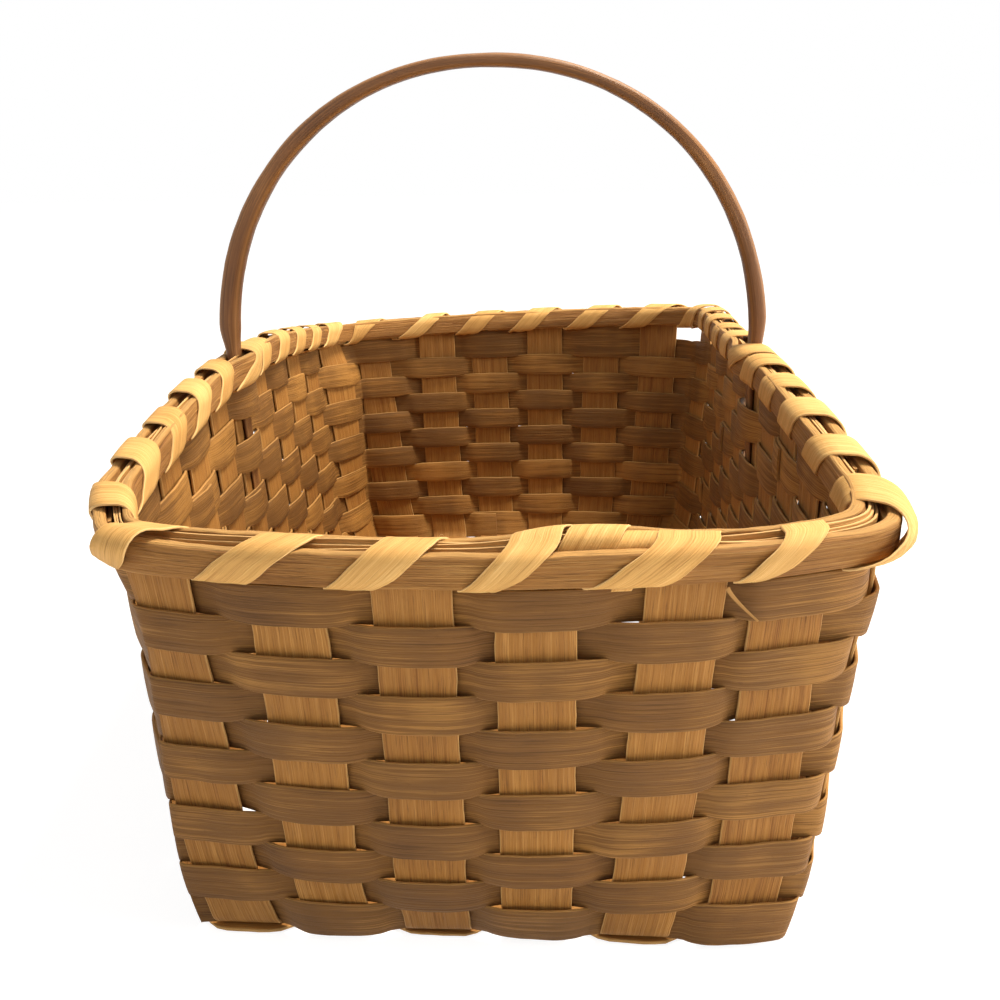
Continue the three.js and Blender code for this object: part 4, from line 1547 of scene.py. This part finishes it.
def build_grain_group() -> bpy.types.NodeTree:
    """Splint grain that runs along U, shared by every wood here.

    Noise textures are stretched along the strip at three widths: bands, fibres and short dark pores.

    Returns:
        The group, with its strengths as named inputs.
    """
    inputs = {"Strip": None, "Band Width": 0.0035, "Fibre Width": 0.0006, "Fibre Length": 0.02,
              "Pore Amount": 0.5}
    board, given, result = start_group("Splint Grain", inputs, ("Bands", "Fibres", "Pores", "Relief"))
    strip, band_width, fibre_width = given["Strip"], given["Band Width"], given["Fibre Width"]
    fibre_length = given["Fibre Length"]
    band_vector = board.stretched(strip, board.scaled(band_width, 22.0), band_width)
    bands = board.levels(board.noise(band_vector, 1.0, 3.0, 0.55), 0.3, 0.7)
    fibre_vector = board.stretched(strip, fibre_length, fibre_width)
    fibres = board.levels(board.noise(fibre_vector, 1.0, 4.0, 0.62), 0.3, 0.7)
    pore_vector = board.stretched(strip, board.scaled(fibre_length, 0.2), board.scaled(fibre_width, 0.6))
    pores = board.levels(board.noise(pore_vector, 1.0, 2.0, 0.55), 0.54, 0.76)
    pores = board.scaled(pores, given["Pore Amount"])
    relief = board.maths("ADD", board.scaled(fibres, 0.6), board.scaled(bands, 0.5))
    relief = board.maths("SUBTRACT", relief, board.scaled(pores, 0.6))
    for name, value in (("Bands", bands), ("Fibres", fibres), ("Pores", pores), ("Relief", relief)):
        board.feed(result[name], value)
    return board.tree


def build_weather_group() -> bpy.types.NodeTree:
    """Blotches of age over the whole basket, from noise on Object coordinates at two sizes.

    Returns:
        The group, which puts out one blotch mask and one fine speck mask.
    """
    inputs = {"Blotch Size": 0.03, "Place": None}
    board, given, result = start_group("Aged Surface", inputs, ("Blotches", "Specks"))
    scaled = board.add("VectorMath", operation="SCALE", Vector=given["Place"])
    board.feed(scaled.inputs["Scale"], board.maths("DIVIDE", 1.0, given["Blotch Size"]))
    board.feed(result["Blotches"], board.levels(board.noise(scaled.outputs[0], 1.0, 3.0, 0.55), 0.32, 0.7))
    board.feed(result["Specks"], board.levels(board.noise(scaled.outputs[0], 14.0, 2.0, 0.5), 0.66, 0.78))
    return board.tree


def linear(colour: Triple) -> tuple[float, float, float, float]:
    """A colour written as 0 to 255 display values, in the linear values that shaders use."""
    values = np.array(colour) / 255.0
    return (*np.where(values <= 0.04045, values / 12.92, ((values + 0.055) / 1.055) ** 2.4).tolist(), 1.0)


@dataclass(frozen=True)
class SplintFinish:
    """A wood finish: its colours from dark to light, its aged and edge colours, and its grain's sizes."""

    name: str
    dark: Triple
    middle: Triple
    light: Triple
    aged: Triple
    edge: Triple
    band_width: float
    fibre_length: float = 0.05
    fibre_width: float = 0.0005
    pore_amount: float = 0.5
    rough_low: float = 0.58
    rough_high: float = 0.8
    relief: float = 0.00035
    blotch: float = 0.35
    coat: float = 0.0

    def build(self, grain: bpy.types.NodeTree, weather: bpy.types.NodeTree) -> Material:
        """Makes the material.

        Args:
            grain: the splint grain group.
            weather: the aged surface group.

        Returns:
            The node material.
        """
        material = bpy.data.materials.new(self.name)
        board = NodeBoard(material)
        tone = board.add("Attribute", attribute_type="GEOMETRY", attribute_name=TONE_NAME)
        lightness, greyness, edge = board.add("SeparateColor", Color=tone.outputs["Color"]).outputs
        strip = board.add("UVMap", uv_map=UV_NAME).outputs["UV"]
        fibre = board.add("Group", node_tree=grain, Strip=strip, Band_Width=self.band_width,
                          Fibre_Width=self.fibre_width, Fibre_Length=self.fibre_length,
                          Pore_Amount=self.pore_amount).outputs
        place = board.add("TexCoord").outputs["Object"]
        age = board.add("Group", node_tree=weather, Place=place).outputs
        shade = board.maths("ADD", board.scaled(fibre["Fibres"], 0.45), board.scaled(fibre["Bands"], 0.3))
        shade = board.maths("ADD", shade, board.scaled(lightness, 0.5))
        shade = board.maths("SUBTRACT", shade, 0.125, clamp=True)
        aged_share = board.scaled(board.maths("ADD", age["Blotches"], greyness), self.blotch)
        colour = linear(self.dark)
        for share, tint in (
            (board.levels(shade, 0.0, 0.5), self.middle),
            (board.levels(shade, 0.5, 1.0), self.light),
            (board.scaled(aged_share, 0.7, True), self.aged),
            (board.scaled(fibre["Pores"], 0.75, True), tuple(0.62 * part for part in self.dark)),
            (board.scaled(edge, 0.55, True), self.edge),
            (board.scaled(age["Specks"], 0.18, True), self.dark),
        ):
            colour = board.mix(share, colour, linear(tint))
        rough = board.add("MapRange", Value=fibre["Fibres"], To_Min=self.rough_high, To_Max=self.rough_low)
        relief = board.add("Bump", Strength=0.7, Distance=self.relief, Height=fibre["Relief"])
        shader = board.add("BsdfPrincipled", Base_Color=colour, Roughness=rough.outputs["Result"],
                           Specular_IOR_Level=0.35, Coat_Weight=self.coat, Coat_Roughness=0.35,
                           Normal=relief.outputs["Normal"])
        board.add("OutputMaterial", Surface=shader.outputs["BSDF"])
        return material


STAKE_FINISH = SplintFinish(
    "Stake Splint", (116, 70, 25), (164, 113, 50), (198, 146, 76), (140, 92, 39), (222, 178, 112),
    band_width=0.0030, pore_amount=0.8)
WEAVER_FINISH = SplintFinish(
    "Weaver Splint", (80, 48, 15), (122, 81, 31), (174, 124, 58), (106, 72, 32), (200, 152, 88),
    band_width=0.0024, pore_amount=0.4, blotch=0.45)
HOOP_FINISH = SplintFinish(
    "Hoop Splint", (110, 66, 25), (165, 114, 54), (206, 155, 86), (148, 101, 49), (216, 170, 102),
    band_width=0.0016, fibre_length=0.06, pore_amount=0.9, relief=0.001)
CORE_FINISH = SplintFinish(
    "Core Splint", (136, 88, 40), (194, 144, 80), (224, 178, 112), (168, 118, 62), (236, 196, 134),
    band_width=0.0018, fibre_length=0.02)
LASHING_FINISH = SplintFinish(
    "Lashing Splint", (172, 122, 58), (216, 167, 96), (240, 198, 128), (192, 142, 74), (244, 208, 146),
    band_width=0.0032, pore_amount=0.45, blotch=0.3)
HANDLE_FINISH = SplintFinish(
    "Handle Rod", (74, 42, 17), (120, 77, 38), (164, 113, 61), (104, 67, 34), (176, 126, 72),
    band_width=0.0022, fibre_length=0.06, fibre_width=0.00045, rough_low=0.4, rough_high=0.6,
    relief=0.0002, coat=0.15)


@dataclass(frozen=True)
class PhotoCamera:
    """The photograph's camera in the frame of the part, from a fit to its outline and weave rows."""

    eye: Triple = (20.95, -512.9, 269.5)
    yaw: float = -2.73
    pitch: float = 18.41
    roll: float = -1.2
    focal_pixels: float = 1042.2
    image_size: float = 1000.0
    sensor: float = 36.0

    def build(self) -> None:
        """Makes the camera and makes it the scene's own."""
        yaw, pitch, roll = (math.radians(angle) for angle in (self.yaw, self.pitch, self.roll))
        level = Vector((math.sin(yaw), math.cos(yaw), 0.0))
        right = Vector((math.cos(yaw), -math.sin(yaw), 0.0))
        forward = level * math.cos(pitch) - Vector((0.0, 0.0, math.sin(pitch)))
        up = level * math.sin(pitch) + Vector((0.0, 0.0, math.cos(pitch)))
        turned_right = right * math.cos(roll) + up * math.sin(roll)
        turned_up = up * math.cos(roll) - right * math.sin(roll)
        data = bpy.data.cameras.new("photo_camera")
        data.sensor_width = self.sensor
        data.lens = self.focal_pixels * self.sensor / self.image_size
        data.clip_start = 0.01
        data.clip_end = 50.0
        camera = bpy.data.objects.new("photo_camera", data)
        matrix = Matrix((turned_right, turned_up, -forward)).transposed().to_4x4()
        matrix.translation = Vector(self.eye) * MILLIMETRE
        camera.matrix_world = matrix
        bpy.context.scene.collection.objects.link(camera)
        bpy.context.scene.camera = camera


@dataclass(frozen=True)
class SoftLamp:
    """One large soft lamp that looks at the basket."""

    name: str
    place: Triple
    size: float
    watts: float
    colour: Triple = (255.0, 255.0, 255.0)

    def build(self) -> None:
        """Makes the lamp, turned towards the basket's middle."""
        data = bpy.data.lights.new(self.name, "AREA")
        data.shape = "DISK"
        data.size = self.size
        data.energy = self.watts
        data.color = linear(self.colour)[:3]
        lamp = bpy.data.objects.new(self.name, data)
        lamp.location = Vector(self.place)
        lamp.rotation_euler = (Vector((0.0, 0.0, 0.1)) - lamp.location).to_track_quat("-Z", "Y").to_euler()
        bpy.context.scene.collection.objects.link(lamp)


@dataclass(frozen=True)
class Studio:
    """Pale floor, white surround and soft lamps."""

    floor_size: float = 14.0
    floor_lift: float = 0.66
    floor_colour: Triple = (0.9, 0.9, 0.9)
    floor_white: float = 1.35
    world_colour: Triple = (1.0, 0.99, 0.97)
    world_strength: float = 0.37
    lamps: tuple[SoftLamp, ...] = (
        SoftLamp("key_lamp", (0.7, 0.15, 1.75), 0.7, 58.0, (255.0, 244.0, 226.0)),
        SoftLamp("fill_lamp", (-0.9, -1.3, 0.9), 1.2, 3.0),
        SoftLamp("side_lamp", (1.75, -0.42, 0.65), 0.8, 25.0, (255.0, 248.0, 236.0)),
    )

    def build(self) -> None:
        """Makes the floor, the world and the lamps."""
        self._build_floor()
        self._build_world()
        for lamp in self.lamps:
            lamp.build()

    def _build_floor(self) -> None:
        """A plain pale floor, lifted towards white for the camera but still holding the shadow."""
        half = self.floor_size / 2.0
        mesh = bpy.data.meshes.new("floor")
        corners = [(-half, -half, 0.0), (half, -half, 0.0), (half, half, 0.0), (-half, half, 0.0)]
        mesh.from_pydata(corners, [], [(0, 1, 2, 3)])
        material = bpy.data.materials.new("Pale Floor")
        board = NodeBoard(material)
        paper = board.add("BsdfDiffuse", Color=(*self.floor_colour, 1.0))
        white = board.add("Emission", Color=WHITE, Strength=self.floor_white)
        lifted = board.scaled(board.seen(), self.floor_lift)
        board.add("OutputMaterial", Surface=board.mix_shaders(lifted, paper, white))
        mesh.materials.append(material)
        floor = bpy.data.objects.new("floor", mesh)
        bpy.context.scene.collection.objects.link(floor)

    def _build_world(self) -> None:
        """An even pale surround that lights the basket softly and shows as white."""
        world = bpy.data.worlds.new("white_surround")
        board = NodeBoard(world)
        soft = board.add("Background", Color=(*self.world_colour, 1.0), Strength=self.world_strength)
        white = board.add("Background", Color=WHITE)
        board.add("OutputWorld", Surface=board.mix_shaders(board.seen(), soft, white))
        bpy.context.scene.world = world


def main() -> None:
    """Builds the studio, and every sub-assembly and its finish."""
    logging.basicConfig(level=logging.INFO, format="%(name)s %(message)s")
    bpy.context.scene.view_settings.view_transform = "Standard"
    PhotoCamera().build()
    Studio().build()
    grain, weather = build_grain_group(), build_weather_group()
    WovenStakes().build(STAKE_FINISH.build(grain, weather))
    WovenRows().build(WEAVER_FINISH.build(grain, weather))
    HOOPS.build(HOOP_FINISH.build(grain, weather), CORE_FINISH.build(grain, weather))
    RimLashing().build(LASHING_FINISH.build(grain, weather))
    BentHandle().build(HANDLE_FINISH.build(grain, weather))


if __name__ == "__main__":
    main()
